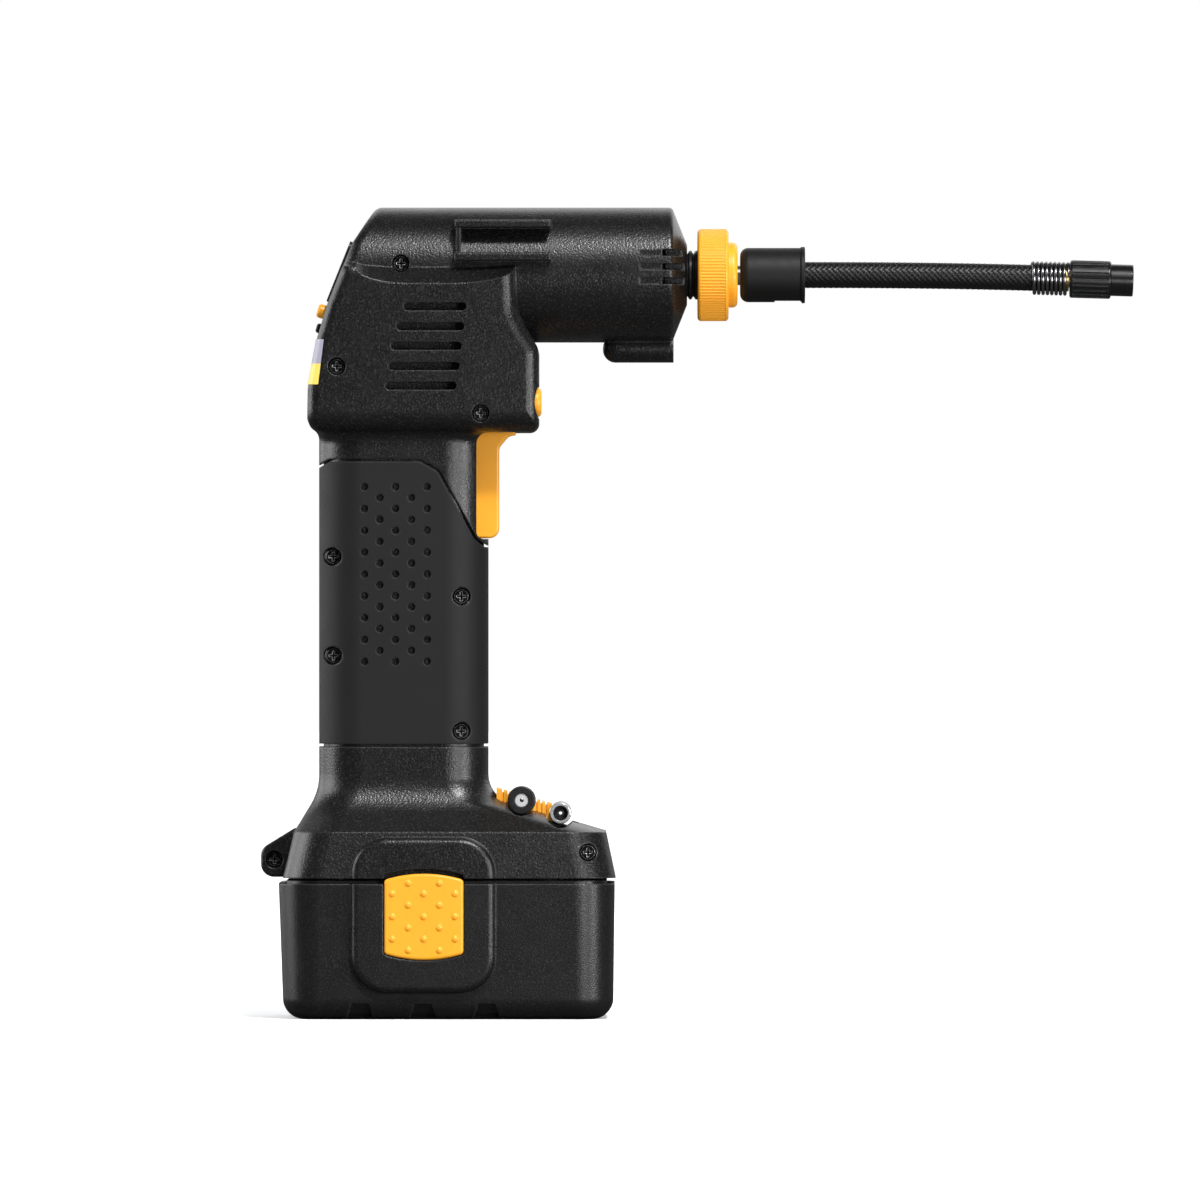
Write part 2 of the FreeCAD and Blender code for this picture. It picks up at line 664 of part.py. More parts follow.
# ---------------------------------------------------------------- motor, gears and pump
def gear_profile(teeth, module):
    """Straight-flanked teeth with a generous backlash, first tooth on the +X side."""
    root = module * (teeth / 2 - 1.15)
    tip = module * (teeth / 2 + 0.8)
    pitch = 2 * math.pi / teeth
    corners = []
    for i in range(teeth):
        middle = i * pitch
        for r, half in ((root, 0.31), (tip, 0.11)):
            corners.append((r, middle - half * pitch))
        for r, half in ((tip, 0.11), (root, 0.31)):
            corners.append((r, middle + half * pitch))
    return [Vector(r * math.cos(a), r * math.sin(a), 0) for r, a in corners]


def gear(teeth, module, x, z0, z1, phase=0.0):
    points = gear_profile(teeth, module)
    body = Part.Face(Part.makePolygon(points + points[:1])).extrude(Vector(0, 0, z1 - z0))
    body.rotate(ORIGIN, Z_AXIS, phase)
    body.translate(Vector(x, 0, z0))
    return body


def make_motor():
    can = rod((MOTOR_X, 0, MOTOR_BOTTOM + 7), (MOTOR_X, 0, MOTOR_TOP), MOTOR_R)
    can = softened(can, 1.2, lambda e: lies_at(e, "Z", MOTOR_TOP))
    can = can.cut(rod((MOTOR_X, 0, MOTOR_BOTTOM), (MOTOR_X, 0, MOTOR_TOP - 1.2), MOTOR_R - 1.2))
    can = can.cut(rod((MOTOR_X, 0, MOTOR_TOP - 3), (MOTOR_X, 0, MOTOR_TOP + 1), SHAFT_R + 0.5))
    cap = rod((MOTOR_X, 0, MOTOR_BOTTOM), (MOTOR_X, 0, MOTOR_BOTTOM + 7), MOTOR_R)
    cap = cap.cut(rod((MOTOR_X, 0, MOTOR_BOTTOM + 2), (MOTOR_X, 0, MOTOR_BOTTOM + 8), MOTOR_R - 1.5))
    tags = [box(MOTOR_X - 1.5, MOTOR_X + 1.5, s * 9 - 0.4, s * 9 + 0.4, MOTOR_BOTTOM - 5, MOTOR_BOTTOM)
            for s in (-1, 1)]
    ring = rod((MOTOR_X, 0, 184), (MOTOR_X, 0, 220), MOTOR_R - 1.2)
    ring = ring.cut(rod((MOTOR_X, 0, 183), (MOTOR_X, 0, 221), MOTOR_R - 4.2))
    slit = box(MOTOR_X - 4, MOTOR_X + 4, -20, 20, 180, 222)
    magnets = ring.cut(slit)
    stack = rod((MOTOR_X, 0, 186), (MOTOR_X, 0, 216), MOTOR_R - 5.0)
    slots = []
    for i in range(5):
        slot = box(3.6, 20, -0.9, 0.9, 185, 217)
        slot.rotate(ORIGIN, Z_AXIS, i * 72)
        slot.translate(Vector(MOTOR_X, 0, 0))
        slots.append(slot)
    stack = stack.cut(Part.makeCompound(slots))
    commutator = rod((MOTOR_X, 0, 175), (MOTOR_X, 0, 185), 3.4)
    shaft = rod((MOTOR_X, 0, MOTOR_BOTTOM + 2.3), (MOTOR_X, 0, GEAR_TOP + 1), SHAFT_R)
    rotor = fuse([stack, commutator, shaft])
    return can, cap.fuse(tags[0]).fuse(tags[1]), magnets, rotor


def make_gears():
    pinion = gear(PINION_TEETH, MODULE, MOTOR_X, GEAR_BOTTOM - 0.5, GEAR_TOP + 0.5)
    pinion = pinion.cut(rod((MOTOR_X, 0, 200), (MOTOR_X, 0, 260), SHAFT_R))
    half_tooth = 180.0 / GEAR_TEETH
    wheel = gear(GEAR_TEETH, MODULE, GEAR_X, GEAR_BOTTOM, GEAR_TOP - 1.5, 180.0 + half_tooth)
    hub = rod((GEAR_X, 0, GEAR_BOTTOM), (GEAR_X, 0, GEAR_TOP), 10.5)
    wheel = wheel.fuse(hub).cut(rod((GEAR_X, 0, 220), (GEAR_X, 0, 260), AXLE_R + FIT))
    pin = rod((GEAR_X + CRANK_R, 0, GEAR_BOTTOM + 1), (GEAR_X + CRANK_R, 0, 242.6), 2.0)
    return pinion, wheel.fuse(pin).removeSplitter()


def make_bracket():
    """Metal frame that carries the motor, the crank gear's axle and the cylinder."""
    plate = upright(-30.0, 22.4, 12.5, MOTOR_TOP, 228.6, 5.0)
    post = slab([(19.4, MOTOR_TOP), (22.4, MOTOR_TOP), (22.4, 260.0), (19.4, 260.0)], -12.5, 12.5)
    post = softened(post, 8.0, lambda e: e.BoundBox.XLength > 2.9 and e.BoundBox.ZMin > 259)
    axle = rod((GEAR_X, 0, 228.0), (GEAR_X, 0, GEAR_TOP + 0.6), AXLE_R)
    frame = fuse([plate, post, axle])
    frame = frame.cut(rod((19, 0, AXIS_Z), (23, 0, AXIS_Z), 7.0))
    return frame.cut(rod((MOTOR_X, 0, 220), (MOTOR_X, 0, 240), SHAFT_R + 0.6))


def make_pump():
    barrel_x0, barrel_x1 = CYLINDER_X
    profile = [(barrel_x0, BORE_R)]
    x = barrel_x0
    profile.append((x, CYLINDER_R))
    x += 3.0
    while x < barrel_x1 - 4:
        profile += [(x, CYLINDER_R), (x, 15.0), (x + 1.2, 15.0), (x + 1.2, CYLINDER_R)]
        x += 3.6
    profile += [(barrel_x1, CYLINDER_R), (barrel_x1, BORE_R)]
    cylinder = turned(profile)
    cap = turned([(barrel_x1, 0), (barrel_x1, 13.5, 0.6), (HEAD_FRONT, 13.5, 1.2), (HEAD_FRONT, 0)])
    cap = cap.cut(rod((60, 0, AXIS_Z), (70, 0, AXIS_Z), 1.6))
    bolts = []
    for i in range(4):
        a = math.radians(45 + 90 * i)
        y, z = 10.6 * math.cos(a), AXIS_Z + 10.6 * math.sin(a)
        cap = cap.cut(rod((64, y, z), (70, y, z), 1.9))
        bolts.append(rod((64, y, z), (67.4, y, z), 1.8))
    big_end = rod((GEAR_X + CRANK_R, 0, 243.0), (GEAR_X + CRANK_R, 0, 250.6), 4.4)
    big_end = big_end.cut(rod((GEAR_X + CRANK_R, 0, 240), (GEAR_X + CRANK_R, 0, 252), 2.1))
    bar = box(GEAR_X + CRANK_R + 3.4, 52.0, -3.0, 3.0, 244.0, 250.6)
    crown = turned([(51.0, 0), (51.0, PISTON_R - 1.6, 0.8), (54.0, PISTON_R), (59.0, PISTON_R), (59.0, 0)])
    piston = fuse([big_end, bar, crown])
    return cylinder, cap, compound(bolts), piston


# ---------------------------------------------------------------- outlet, collar and hose
def make_outlet():
    step = BARREL_FRONT - WALL
    profile = [(HEAD_FRONT, 2.0), (HEAD_FRONT, 11.0), (step, 11.0), (step, STUB_R), (80.0, STUB_R)]
    x = 80.0
    while x < 91.0 - THREAD_PITCH:
        profile += [(x, STUB_R), (x + 0.6, THREAD_R), (x + 1.2, THREAD_R), (x + 1.8, STUB_R)]
        x += THREAD_PITCH
    profile += [(x, STUB_R), (91.0, STUB_R), (91.0, 2.0)]
    return turned(dedupe(profile))


def dedupe(profile):
    clean = []
    for point in profile:
        if not clean or abs(point[0] - clean[-1][0]) + abs(point[1] - clean[-1][1]) > 1e-6:
            clean.append(point)
    return clean


def make_collar():
    x0, x1 = COLLAR_X
    nut = turned([
        (x0, THREAD_R + 0.25), (x0, COLLAR_R, 1.2), (x1, COLLAR_R, 1.2), (x1, 10.8),
        (COLLAR_DOME, 10.8, 1.6), (COLLAR_DOME, 3.6), (94.0, 3.6), (94.0, 6.4), (92.0, 6.4),
        (92.0, THREAD_R + 0.25),
    ])
    cuts = []
    for i in range(KNURLS):
        cut = rod((x0 + 1.0, 0, AXIS_Z + COLLAR_R + 0.1), (x1 - 1.0, 0, AXIS_Z + COLLAR_R + 0.1), 0.36)
        cut.rotate(Vector(0, 0, AXIS_Z), X_AXIS, 360.0 * i / KNURLS)
        cuts.append(cut)
    return nut.cut(Part.makeCompound(cuts))


def make_hose_fitting():
    """Plated tail that the collar pulls on to the outlet, with a barb for the hose."""
    end = HOSE_ROUTE[0][0]
    return turned([(91.3, 1.8), (91.3, 5.8), (93.7, 5.8), (93.7, 3.35), (end, 3.35), (end, 1.8)])


def make_boot():
    x0, x1 = BOOT_X
    boot = turned([
        (x0, 3.35), (x0, BOOT_R, 2.7), (x1 - 1.4, BOOT_R, 0.3), (x1 - 1.4, BOOT_R + 0.35, 0.3),
        (x1, BOOT_R + 0.35, 0.3), (x1, HOSE_D / 2), (HOSE_ROUTE[0][0], HOSE_D / 2), (HOSE_ROUTE[0][0], 3.35),
    ])
    notch = box(109.0, 118.0, -3.0, 3.0, AXIS_Z - BOOT_R - 1, AXIS_Z - BOOT_R + 0.5)
    return boot.cut(notch)


def hose_path():
    """Straight runs of the route joined by arcs as large as the runs allow."""
    points = [Vector(*p) for p in HOSE_ROUTE]
    edges = []
    start = points[0]
    for before, corner, after in zip(points, points[1:], points[2:]):
        back = (before - corner).normalize()
        ahead = (after - corner).normalize()
        turn = math.pi - back.getAngle(ahead)
        shorter = min(before.distanceToPoint(corner), after.distanceToPoint(corner))
        reach = 0.45 * shorter
        radius = reach / math.tan(turn / 2)
        half = (math.pi - turn) / 2
        middle = corner + (back + ahead).normalize() * (radius / math.sin(half) - radius)
        enter = corner + back * reach
        leave = corner + ahead * reach
        print(f"hose arc: turn {math.degrees(turn):.2f} deg, radius {radius:.0f} mm")
        edges.append(Part.LineSegment(start, enter).toShape())
        edges.append(Part.Arc(enter, middle, leave).toShape())
        start = leave
    edges.append(Part.LineSegment(start, points[-1]).toShape())
    return Part.Wire(edges)


def make_hose():
    path = hose_path()
    first = Vector(*HOSE_ROUTE[1]) - Vector(*HOSE_ROUTE[0])
    circle = Part.Wire(Part.makeCircle(HOSE_D / 2, Vector(*HOSE_ROUTE[0]), first))
    hose = path.makePipeShell([circle], True, False)
    print(f"hose length {path.Length:.2f} volume {hose.Volume:.0f} expected "
          f"{math.pi * (HOSE_D / 2) ** 2 * path.Length:.0f}")
    return hose


HOSE_END = Vector(*HOSE_ROUTE[-1])
END_DIRECTION = (Vector(*HOSE_ROUTE[-1]) - Vector(*HOSE_ROUTE[-2])).normalize()


def at_hose_end(profile):
    """Profile of (distance past the hose's end, r) turned about the end's own direction."""
    shape = turned(profile, 0.0)
    tilt = math.degrees(math.atan2(END_DIRECTION.z, END_DIRECTION.x))
    shape.rotate(ORIGIN, Y_AXIS, -tilt)
    shape.translate(HOSE_END)
    return shape


def make_hose_spring():
    """Wire coil that keeps the hose from kinking behind the chuck."""
    start, pitch, wire_r = -11.0, 1.45, 0.65
    rings = []
    for i in range(9):
        x = start + wire_r + pitch * i
        r0, r1 = HOSE_D / 2 + 0.02, HOSE_D / 2 + 0.02 + 2 * wire_r
        rings += [(x - wire_r, r0 + 0.25), (x - wire_r + 0.35, r1), (x + wire_r - 0.35, r1)]
        rings.append((x + wire_r, r0 + 0.25))
    end = start + pitch * 9
    profile = [(start, HOSE_D / 2)] + dedupe(rings) + [(end, HOSE_D / 2 + 0.3), (end, HOSE_D / 2)]
    return at_hose_end(dedupe(profile))


def make_chuck():
    tail = at_hose_end([(0.0, 0), (0.0, 4.2), (2.1, 4.2), (2.1, 2.9), (8.0, 2.9), (8.0, 0)])
    tail = tail.fuse(at_hose_end([(6.0, 0), (6.0, 4.0), (8.0, 4.0), (8.0, 0)]))
    x0, x1 = CHUCK_X
    outside = [(x0, 3.0), (x0, CHUCK_R, 0.7), (x1, CHUCK_R, 0.7)]
    sleeve = turned(outside + [(x1, 4.3), (5.7, 4.3), (5.7, 3.0)], 0.0)
    cuts = []
    for i in range(SPLINES):
        cut = rod((x0 + 0.9, 0, CHUCK_R), (x1 - 0.9, 0, CHUCK_R), 0.42)
        cut.rotate(ORIGIN, X_AXIS, 360.0 * i / SPLINES)
        cuts.append(cut)
    sleeve = sleeve.cut(Part.makeCompound(cuts))
    tilt = math.degrees(math.atan2(END_DIRECTION.z, END_DIRECTION.x))
    sleeve.rotate(ORIGIN, Y_AXIS, -tilt)
    sleeve.translate(HOSE_END)
    tip = at_hose_end([(11.0, VALVE_R), (11.0, 4.3), (x1, 4.3), (x1, TIP_R), (TIP_END, TIP_R, 0.5),
                       (TIP_END, VALVE_R)])
    seal = at_hose_end([(8.6, 1.0), (8.6, 4.3), (11.0, 4.3), (11.0, 1.0)])
    return tail.removeSplitter(), sleeve, tip, seal


# ---------------------------------------------------------------- trigger, switch and light
def make_trigger():
    side = slab([
        (4.0, TRIGGER_LOW), (TRIGGER_FACE, TRIGGER_LOW, 3.4), (TRIGGER_FACE, 189.8, 3.0),
        (20.4, 193.6, 3.0), (23.0, 194.0, 0.6), (22.2, TRIGGER_HIGH, 0.8), (4.0, TRIGGER_HIGH),
    ], -TRIGGER_Y, TRIGGER_Y)
    side = softened(side, 0.8, lambda e: (lies_at(e, "Y", -TRIGGER_Y) or lies_at(e, "Y", TRIGGER_Y))
                    and e.BoundBox.XMax > 12)
    side = side.cut(box(0, 9.0, -40, 40, TRIGGER_HIGH - 4.0, TRIGGER_HIGH + 1))
    flange = box(4.0, 6.8, -TRIGGER_Y - 2.5, TRIGGER_Y + 2.5, TRIGGER_LOW - 2.0, TRIGGER_HIGH - 5.0)
    return side.fuse(flange).removeSplitter()


def make_switch():
    body = softened(box(SWITCH_X[0], SWITCH_X[1], -7, 7, 146, 164), 0.8, lambda e: True)
    plunger = rod((SWITCH_X[1] - 1, 0, 161.5), (-2.0, 0, 161.5), 2.0)
    seat = box(SWITCH_X[1] - 2.6, SWITCH_X[1] - 0.2, -4, 4, 163, 170.2)
    legs = [box(-20, -19.2, s - 1.5, s + 1.5, 141, 146) for s in (-4, 4)]
    return fuse([body, plunger, seat]), compound(legs)


def helix(radius, wire, x0, x1, turns, axis_y, axis_z):
    """Spring along X, as a swept wire."""
    curve = Part.makeHelix((x1 - x0) / turns, x1 - x0, radius)
    circle = Part.Wire(Part.makeCircle(wire, Vector(radius, 0, 0), Y_AXIS))
    spring = Part.Wire(curve.Edges).makePipeShell([circle], True, True)
    spring.rotate(ORIGIN, Y_AXIS, 90)
    spring.translate(Vector(x0, axis_y, axis_z))
    return spring


def make_trigger_spring():
    return helix(2.1, 0.3, SWITCH_X[1] + 0.2, 3.6, 7, 0, 167.2)


def make_light():
    """Pod lamp: clear lens and the diode behind it."""
    lens = turned([(73.4, 0), (73.4, 3.55), (75.1, 3.55, 0.3), (75.1, 0)], LAMP_Z)
    diode = turned([(66.0, 0), (66.0, 2.5), (71.0, 2.5, 2.0), (71.0, 0)], LAMP_Z)
    holder = turned([(64.0, 0), (64.0, 3.55), (66.0, 3.55), (66.0, 0)], LAMP_Z)
    return lens, diode.fuse(holder).removeSplitter()


def make_light_button():
    cap = turned([(24.0, 0), (24.0, 5.0), (31.3, 5.0, 1.6), (31.3, 0)], LIGHT_BUTTON_Z)
    flange = box(25.4, 27.6, -7.0, 7.0, 201.0, 211.0)
    return cap.fuse(flange).removeSplitter()


# ---------------------------------------------------------------- adapter clips
def slope_point(x):
    px, pz, angle = SLOPE
    return pz + (px - x) * math.tan(math.radians(angle))


def clip_strip_block(grow, below):
    """The strip's envelope on the front slope."""
    x0, x1 = 16.4 - grow, 43.6 + grow
    half = 15.0 + grow
    low, high = -1.9 - below, 3.9
    return slab([(x0, slope_point(x0) + low), (x1, slope_point(x1) + low), (x1, slope_point(x1) + high),
                 (x0, slope_point(x0) + high)], -half, half)


def make_clip_strip():
    """Yellow strip with two spring clips for the adapters."""
    strip = clip_strip_block(0.0, 0.0)
    cuts = []
    for (x, z), r in ((NEEDLE_AT, 3.9), (VALVE_AT, 3.6)):
        cuts.append(rod((x, -20, z), (x, 20, z), r + 0.15))
        cuts.append(box(x - r * 0.82, x + r * 0.82, -20, 20, z, z + 12))
    for x in (18.4, 20.2, 29.6, 31.2, 32.8, 42.0):
        cuts.append(box(x - 0.35, x + 0.35, -20, 20, slope_point(x) + 2.9, slope_point(x) + 9))
        for s in (-1, 1):
            y0, y1 = sorted((s * 14.5, s * 20))
            cuts.append(box(x - 0.35, x + 0.35, y0, y1, slope_point(x) - 0.5, slope_point(x) + 9))
    strip = strip.cut(Part.makeCompound(cuts))
    biggest = max(strip.Solids, key=lambda s: s.Volume)
    return biggest


def along_y(profile, at):
    """Profile of (y, r) corners turned about the axis along Y through at = (x, z)."""
    x, z = at
    placed = [(Vector(x + c[1], c[0], z), c[2] if len(c) > 2 else 0) for c in profile]
    return Part.Face(rounded_wire(placed)).revolve(Vector(x, 0, z), Y_AXIS, 360)


def make_adapters():
    needle_base = along_y([(-19.0, 2.2), (-19.0, 4.7, 0.4), (-16.6, 4.7, 0.4), (-16.6, 3.9), (10.0, 3.9, 0.8),
                           (14.0, 2.2)], NEEDLE_AT)
    stem = [(-18.6, 0.7), (-18.6, 2.2), (14.0, 2.2), (18.0, 1.0), (34.0, 1.0, 0.6), (34.0, 0.7)]
    needle_stem = along_y(stem, NEEDLE_AT)
    valve = along_y([(-18.4, 2.5), (-18.4, 3.6, 0.5), (14.0, 3.6, 0.8), (14.0, 1.2), (4.0, 1.2), (4.0, 2.5)],
                    VALVE_AT)
    pin = [(-17.2, 0.5), (-17.2, 1.2), (-15.0, 1.2), (-15.0, 2.5), (-12.0, 2.5), (-12.0, 0.5)]
    core = along_y(pin, VALVE_AT)
    return needle_base, needle_stem, valve, core


# ---------------------------------------------------------------- battery
def battery_outer():
    taper = BATTERY_TAPER
    wires = [
        ring_section(BATTERY_REAR + taper + 0.4, BATTERY_FRONT - 0.5, BATTERY_Y - taper, 0, SKIRT_CORNER - 1),
        ring_section(BATTERY_REAR, BATTERY_FRONT, BATTERY_Y, BATTERY_TOP, SKIRT_CORNER),
    ]
    block = Part.makeLoft(wires, True, True)
    block = softened(block, 7.0, lambda e: lies_at(e, "Z", 0))
    return fuse([block] + both_sides(latch_surround(0, BATTERY_TOP)))


def battery_inner(top):
    taper = BATTERY_TAPER
    wires = [
        ring_section(BATTERY_REAR + taper + 0.4 + WALL, BATTERY_FRONT - 0.5 - WALL, BATTERY_Y - taper - WALL,
                     WALL, SKIRT_CORNER - 1 - WALL),
        ring_section(BATTERY_REAR + WALL, BATTERY_FRONT - WALL, BATTERY_Y - WALL, top, SKIRT_CORNER - WALL),
    ]
    block = Part.makeLoft(wires, True, True)
    return softened(block, 3.0, lambda e: lies_at(e, "Z", WALL))


def latch_outline(grow):
    """Arched button outline as a wire in the plane Y = 0."""
    x0, x1 = LATCH_X - LATCH_HALF - grow, LATCH_X + LATCH_HALF + grow
    low, high = LATCH_LOW - grow, LATCH_HIGH + grow
    a = Vector(x0, 0, low + LATCH_SAG)
    b = Vector(x1, 0, low + LATCH_SAG)
    c = Vector(x1, 0, high - LATCH_SAG)
    d = Vector(x0, 0, high - LATCH_SAG)
    edges = [
        Part.Arc(a, Vector(LATCH_X, 0, low), b).toShape(),
        Part.LineSegment(b, c).toShape(),
        Part.Arc(c, Vector(LATCH_X, 0, high), d).toShape(),
        Part.LineSegment(d, a).toShape(),
    ]
    return Part.Wire(edges)


def latch_block(grow, y0, y1):
    block = Part.Face(latch_outline(grow)).extrude(Vector(0, y1 - y0, 0))
    block.translate(Vector(0, y0, 0))
    return softened(block, LATCH_CORNER + grow, lambda e: abs(e.BoundBox.YLength - (y1 - y0)) < 0.01)


def foot_notch(x):
    """Slanted facet in the battery's lower right edge."""
    facet = Part.makePolygon([Vector(x - 8, -45, -1), Vector(x - 8, -29.8, -1), Vector(x - 8, -35.9, 5.4),
                              Vector(x - 8, -45, 5.4), Vector(x - 8, -45, -1)])
    wedge = Part.Face(facet).extrude(Vector(16, 0, 0))
    return wedge.common(slab([(x - 4.9, -1), (x - 2.9, 5.4), (x + 2.9, 5.4), (x + 4.9, -1)], -45, -20))


def make_battery():
    outer = battery_outer()
    case = outer.cut(battery_inner(BATTERY_TOP + 1.0))
    cuts = both_sides(latch_block(GAP, -45, -33.0))
    for x in (-28.7, -7.8, 13.3):
        cuts += both_sides(foot_notch(x))
    case = case.cut(Part.makeCompound(cuts))
    rim = WALL + 0.2
    lid = upright(BATTERY_REAR + rim, BATTERY_FRONT - rim, BATTERY_Y - rim, LID_LOW, LID_LOW + 4.0,
                  SKIRT_CORNER - WALL)
    tower = upright(TOWER_X[0], TOWER_X[1], TOWER_Y, LID_LOW, TOWER_TOP, 5.0)
    tower = softened(tower, 1.5, lambda e: lies_at(e, "Z", TOWER_TOP))
    hollow = upright(TOWER_X[0] + 2, TOWER_X[1] - 2, TOWER_Y - 2, LID_LOW - 1, TOWER_TOP - 2, 3.5)
    lid = lid.fuse(tower).removeSplitter().cut(hollow)
    arm_ways = both_sides(box(LATCH_X - 7.5, LATCH_X + 7.5, -37.0, -28.6, 40, 47))
    contact_ways = [box(x - 1.0, x + 1.0, -6, 6, TOWER_TOP - 4, TOWER_TOP + 1) for x in CONTACT_X]
    lid = lid.cut(Part.makeCompound(arm_ways + contact_ways + both_sides(latch_block(GAP, -45, -33.0))))
    contacts = compound([box(x - 0.6, x + 0.6, -5, 5, TOWER_TOP - 12, TOWER_TOP - 1.0) for x in CONTACT_X])
    cells = []
    places = [(x, y) for x in (-38.0, 34.5) for y in (-22.4, 0.0, 22.4)]
    places += [(x, y) for x in (-14.0, 9.8) for y in (-11.4, 11.4)]
    for x, y in places:
        can = softened(rod((x, y, 4.0), (x, y, 40.0), 11.0), 0.8, lambda e: e.Length > 60)
        cells.append(can.fuse(rod((x, y, 40.0), (x, y, 41.0), 3.5)))
    return case, lid, contacts, compound(cells)


def make_latch():
    """Right latch: button, the flange that keeps it in the case, and its arm with the catch."""
    button = latch_block(0, -LATCH_FACE_Y, -34.6)
    button = softened(button, 0.9, lambda e: lies_at(e, "Y", -LATCH_FACE_Y))
    flange = latch_block(1.6, -34.6, -33.0).common(box(-60, 60, -40, -30, 0, 41.5))
    button = button.cut(box(-60, 60, LATCH_TONGUE - LATCH_FACE_Y, -30, 41.5, 60))
    arm = box(LATCH_X - 6.0, LATCH_X + 6.0, -33.4, -31.6, 30.0, 52.0)
    bumps = []
    for row, z in enumerate((45.3, 41.8, 38.0, 34.2, 30.5, 26.8, 23.1)):
        columns = (-18.0, -7.6, 2.8) if row % 2 else (-12.7, -2.4)
        for x in columns:
            dome = Part.makeSphere(1.5, Vector(x, -LATCH_FACE_Y + 0.9, z))
            bumps.append(dome.common(box(x - 2, x + 2, -50, -LATCH_FACE_Y + 0.2, z - 2, z + 2)))
    return fuse([button, flange, arm] + bumps)


def make_latch_spring():
    spring = helix(3.0, 0.35, -31.2, -24.4, 5, 0, 0)
    spring.rotate(ORIGIN, Z_AXIS, 90)
    spring.translate(Vector(LATCH_X, 0, 31.0))
    return spring


def make_terminal_block():
    """Socket for the battery's stem contacts, held across the handle."""
    block = upright(-36.0, -3.0, 17.0, 103.0, 109.0, 2.0)
    block = block.cut(box(-24, -14, -5, 5, 100, 112))
    blades = compound([box(x - 0.5, x + 0.5, -4, 4, 100.4, 115.0) for x in CONTACT_X])
    return block.cut(blades), blades


# ---------------------------------------------------------------- all the nodes
def main():
    halves = make_housing()
    for name, shape in halves.items():
        save(name, shape)
    right_panel = make_grip_panel()
    save("right_grip_panel", right_panel)
    save("left_grip_panel", right_panel.mirror(ORIGIN, Y_AXIS))
    save("housing_screws", make_screws())
    bezel, lens, display, board, parts = make_gauge()
    save("gauge_bezel", bezel)
    save("gauge_lens", lens)
    save("gauge_display", display)
    save("control_board", board)
    save("board_parts", parts)
    save("unit_button", rear_button(4.6, 9.0, 2.2, YELLOW_ALONG, 3.0))
    save("power_button", rear_button(3.2, 8.0, 0.6, BLACK_ALONG, 1.7))
    save("rear_label", make_label(head(0)))
    can, cap, magnets, rotor = make_motor()
    save("motor_can", can)
    save("motor_end_cap", cap)
    save("motor_magnets", magnets)
    save("motor_rotor", rotor)
    pinion, wheel = make_gears()
    save("motor_pinion", pinion)
    save("crank_gear", wheel)
    save("gear_bracket", make_bracket())
    cylinder, cap, bolts, piston = make_pump()
    save("pump_cylinder", cylinder)
    save("cylinder_head", cap)
    save("head_bolts", bolts)
    save("piston_rod", piston)
    save("outlet_stub", make_outlet())
    save("hose_collar", make_collar())
    save("hose_fitting", make_hose_fitting())
    save("hose_boot", make_boot())
    save("air_hose", make_hose())
    save("hose_end_spring", make_hose_spring())
    tail, sleeve, tip, seal = make_chuck()
    save("chuck_tail", tail)
    save("chuck_sleeve", sleeve)
    save("chuck_tip", tip)
    save("chuck_seal", seal)
    save("trigger", make_trigger())
    switch, legs = make_switch()
    save("trigger_switch", switch)
    save("switch_legs", legs)
    save("trigger_spring", make_trigger_spring())
    lens, diode = make_light()
    save("lamp_lens", lens)
    save("lamp_diode", diode)
    save("light_button", make_light_button())
    save("adapter_clips", make_clip_strip())
    base_part, stem, valve, core = make_adapters()
    save("needle_base", base_part)
    save("needle_stem", stem)
    save("valve_adapter", valve)
    save("valve_adapter_core", core)
    case, lid, contacts, cells = make_battery()
    save("battery_case", case)
    save("battery_lid", lid)
    save("battery_contacts", contacts)
    save("battery_cells", cells)
    latch = make_latch()
    save("right_latch", latch)
    save("left_latch", latch.mirror(ORIGIN, Y_AXIS))
    spring = make_latch_spring()
    save("latch_springs", compound(both_sides(spring)))
    block, blades = make_terminal_block()
    save("terminal_block", block)
    save("terminal_blades", blades)
    print(len(saved), "nodes")


main()
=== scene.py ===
"""Looks of the cordless tire inflator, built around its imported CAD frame. Metres."""
import json
import math

import bmesh
import bpy
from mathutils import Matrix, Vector


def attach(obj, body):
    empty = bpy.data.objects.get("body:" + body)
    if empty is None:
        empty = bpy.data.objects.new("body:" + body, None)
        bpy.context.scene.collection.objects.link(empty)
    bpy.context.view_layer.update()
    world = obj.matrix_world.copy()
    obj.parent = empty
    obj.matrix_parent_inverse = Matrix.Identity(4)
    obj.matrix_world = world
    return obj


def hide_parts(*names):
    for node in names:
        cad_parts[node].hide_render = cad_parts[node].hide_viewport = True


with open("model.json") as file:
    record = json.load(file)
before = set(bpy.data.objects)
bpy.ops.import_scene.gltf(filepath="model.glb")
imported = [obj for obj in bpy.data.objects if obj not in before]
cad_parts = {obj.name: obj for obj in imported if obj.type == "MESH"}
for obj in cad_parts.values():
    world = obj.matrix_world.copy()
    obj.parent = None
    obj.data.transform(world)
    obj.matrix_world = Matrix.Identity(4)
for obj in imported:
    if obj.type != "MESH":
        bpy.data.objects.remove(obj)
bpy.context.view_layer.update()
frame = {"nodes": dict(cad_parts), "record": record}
nodes = frame["nodes"]

MM = 0.001


def grey(value):
    return (value, value, value)


# ------------------------------------------------------------------ camera, light and floor
LENS = 500.0                     # long, because the photograph shows almost no perspective
SENSOR = 36.0
FRAME_WIDTH = 0.4                # what the photograph spans at the tool
AIM_X, AIM_Z = 50.8 * MM, 139.0 * MM

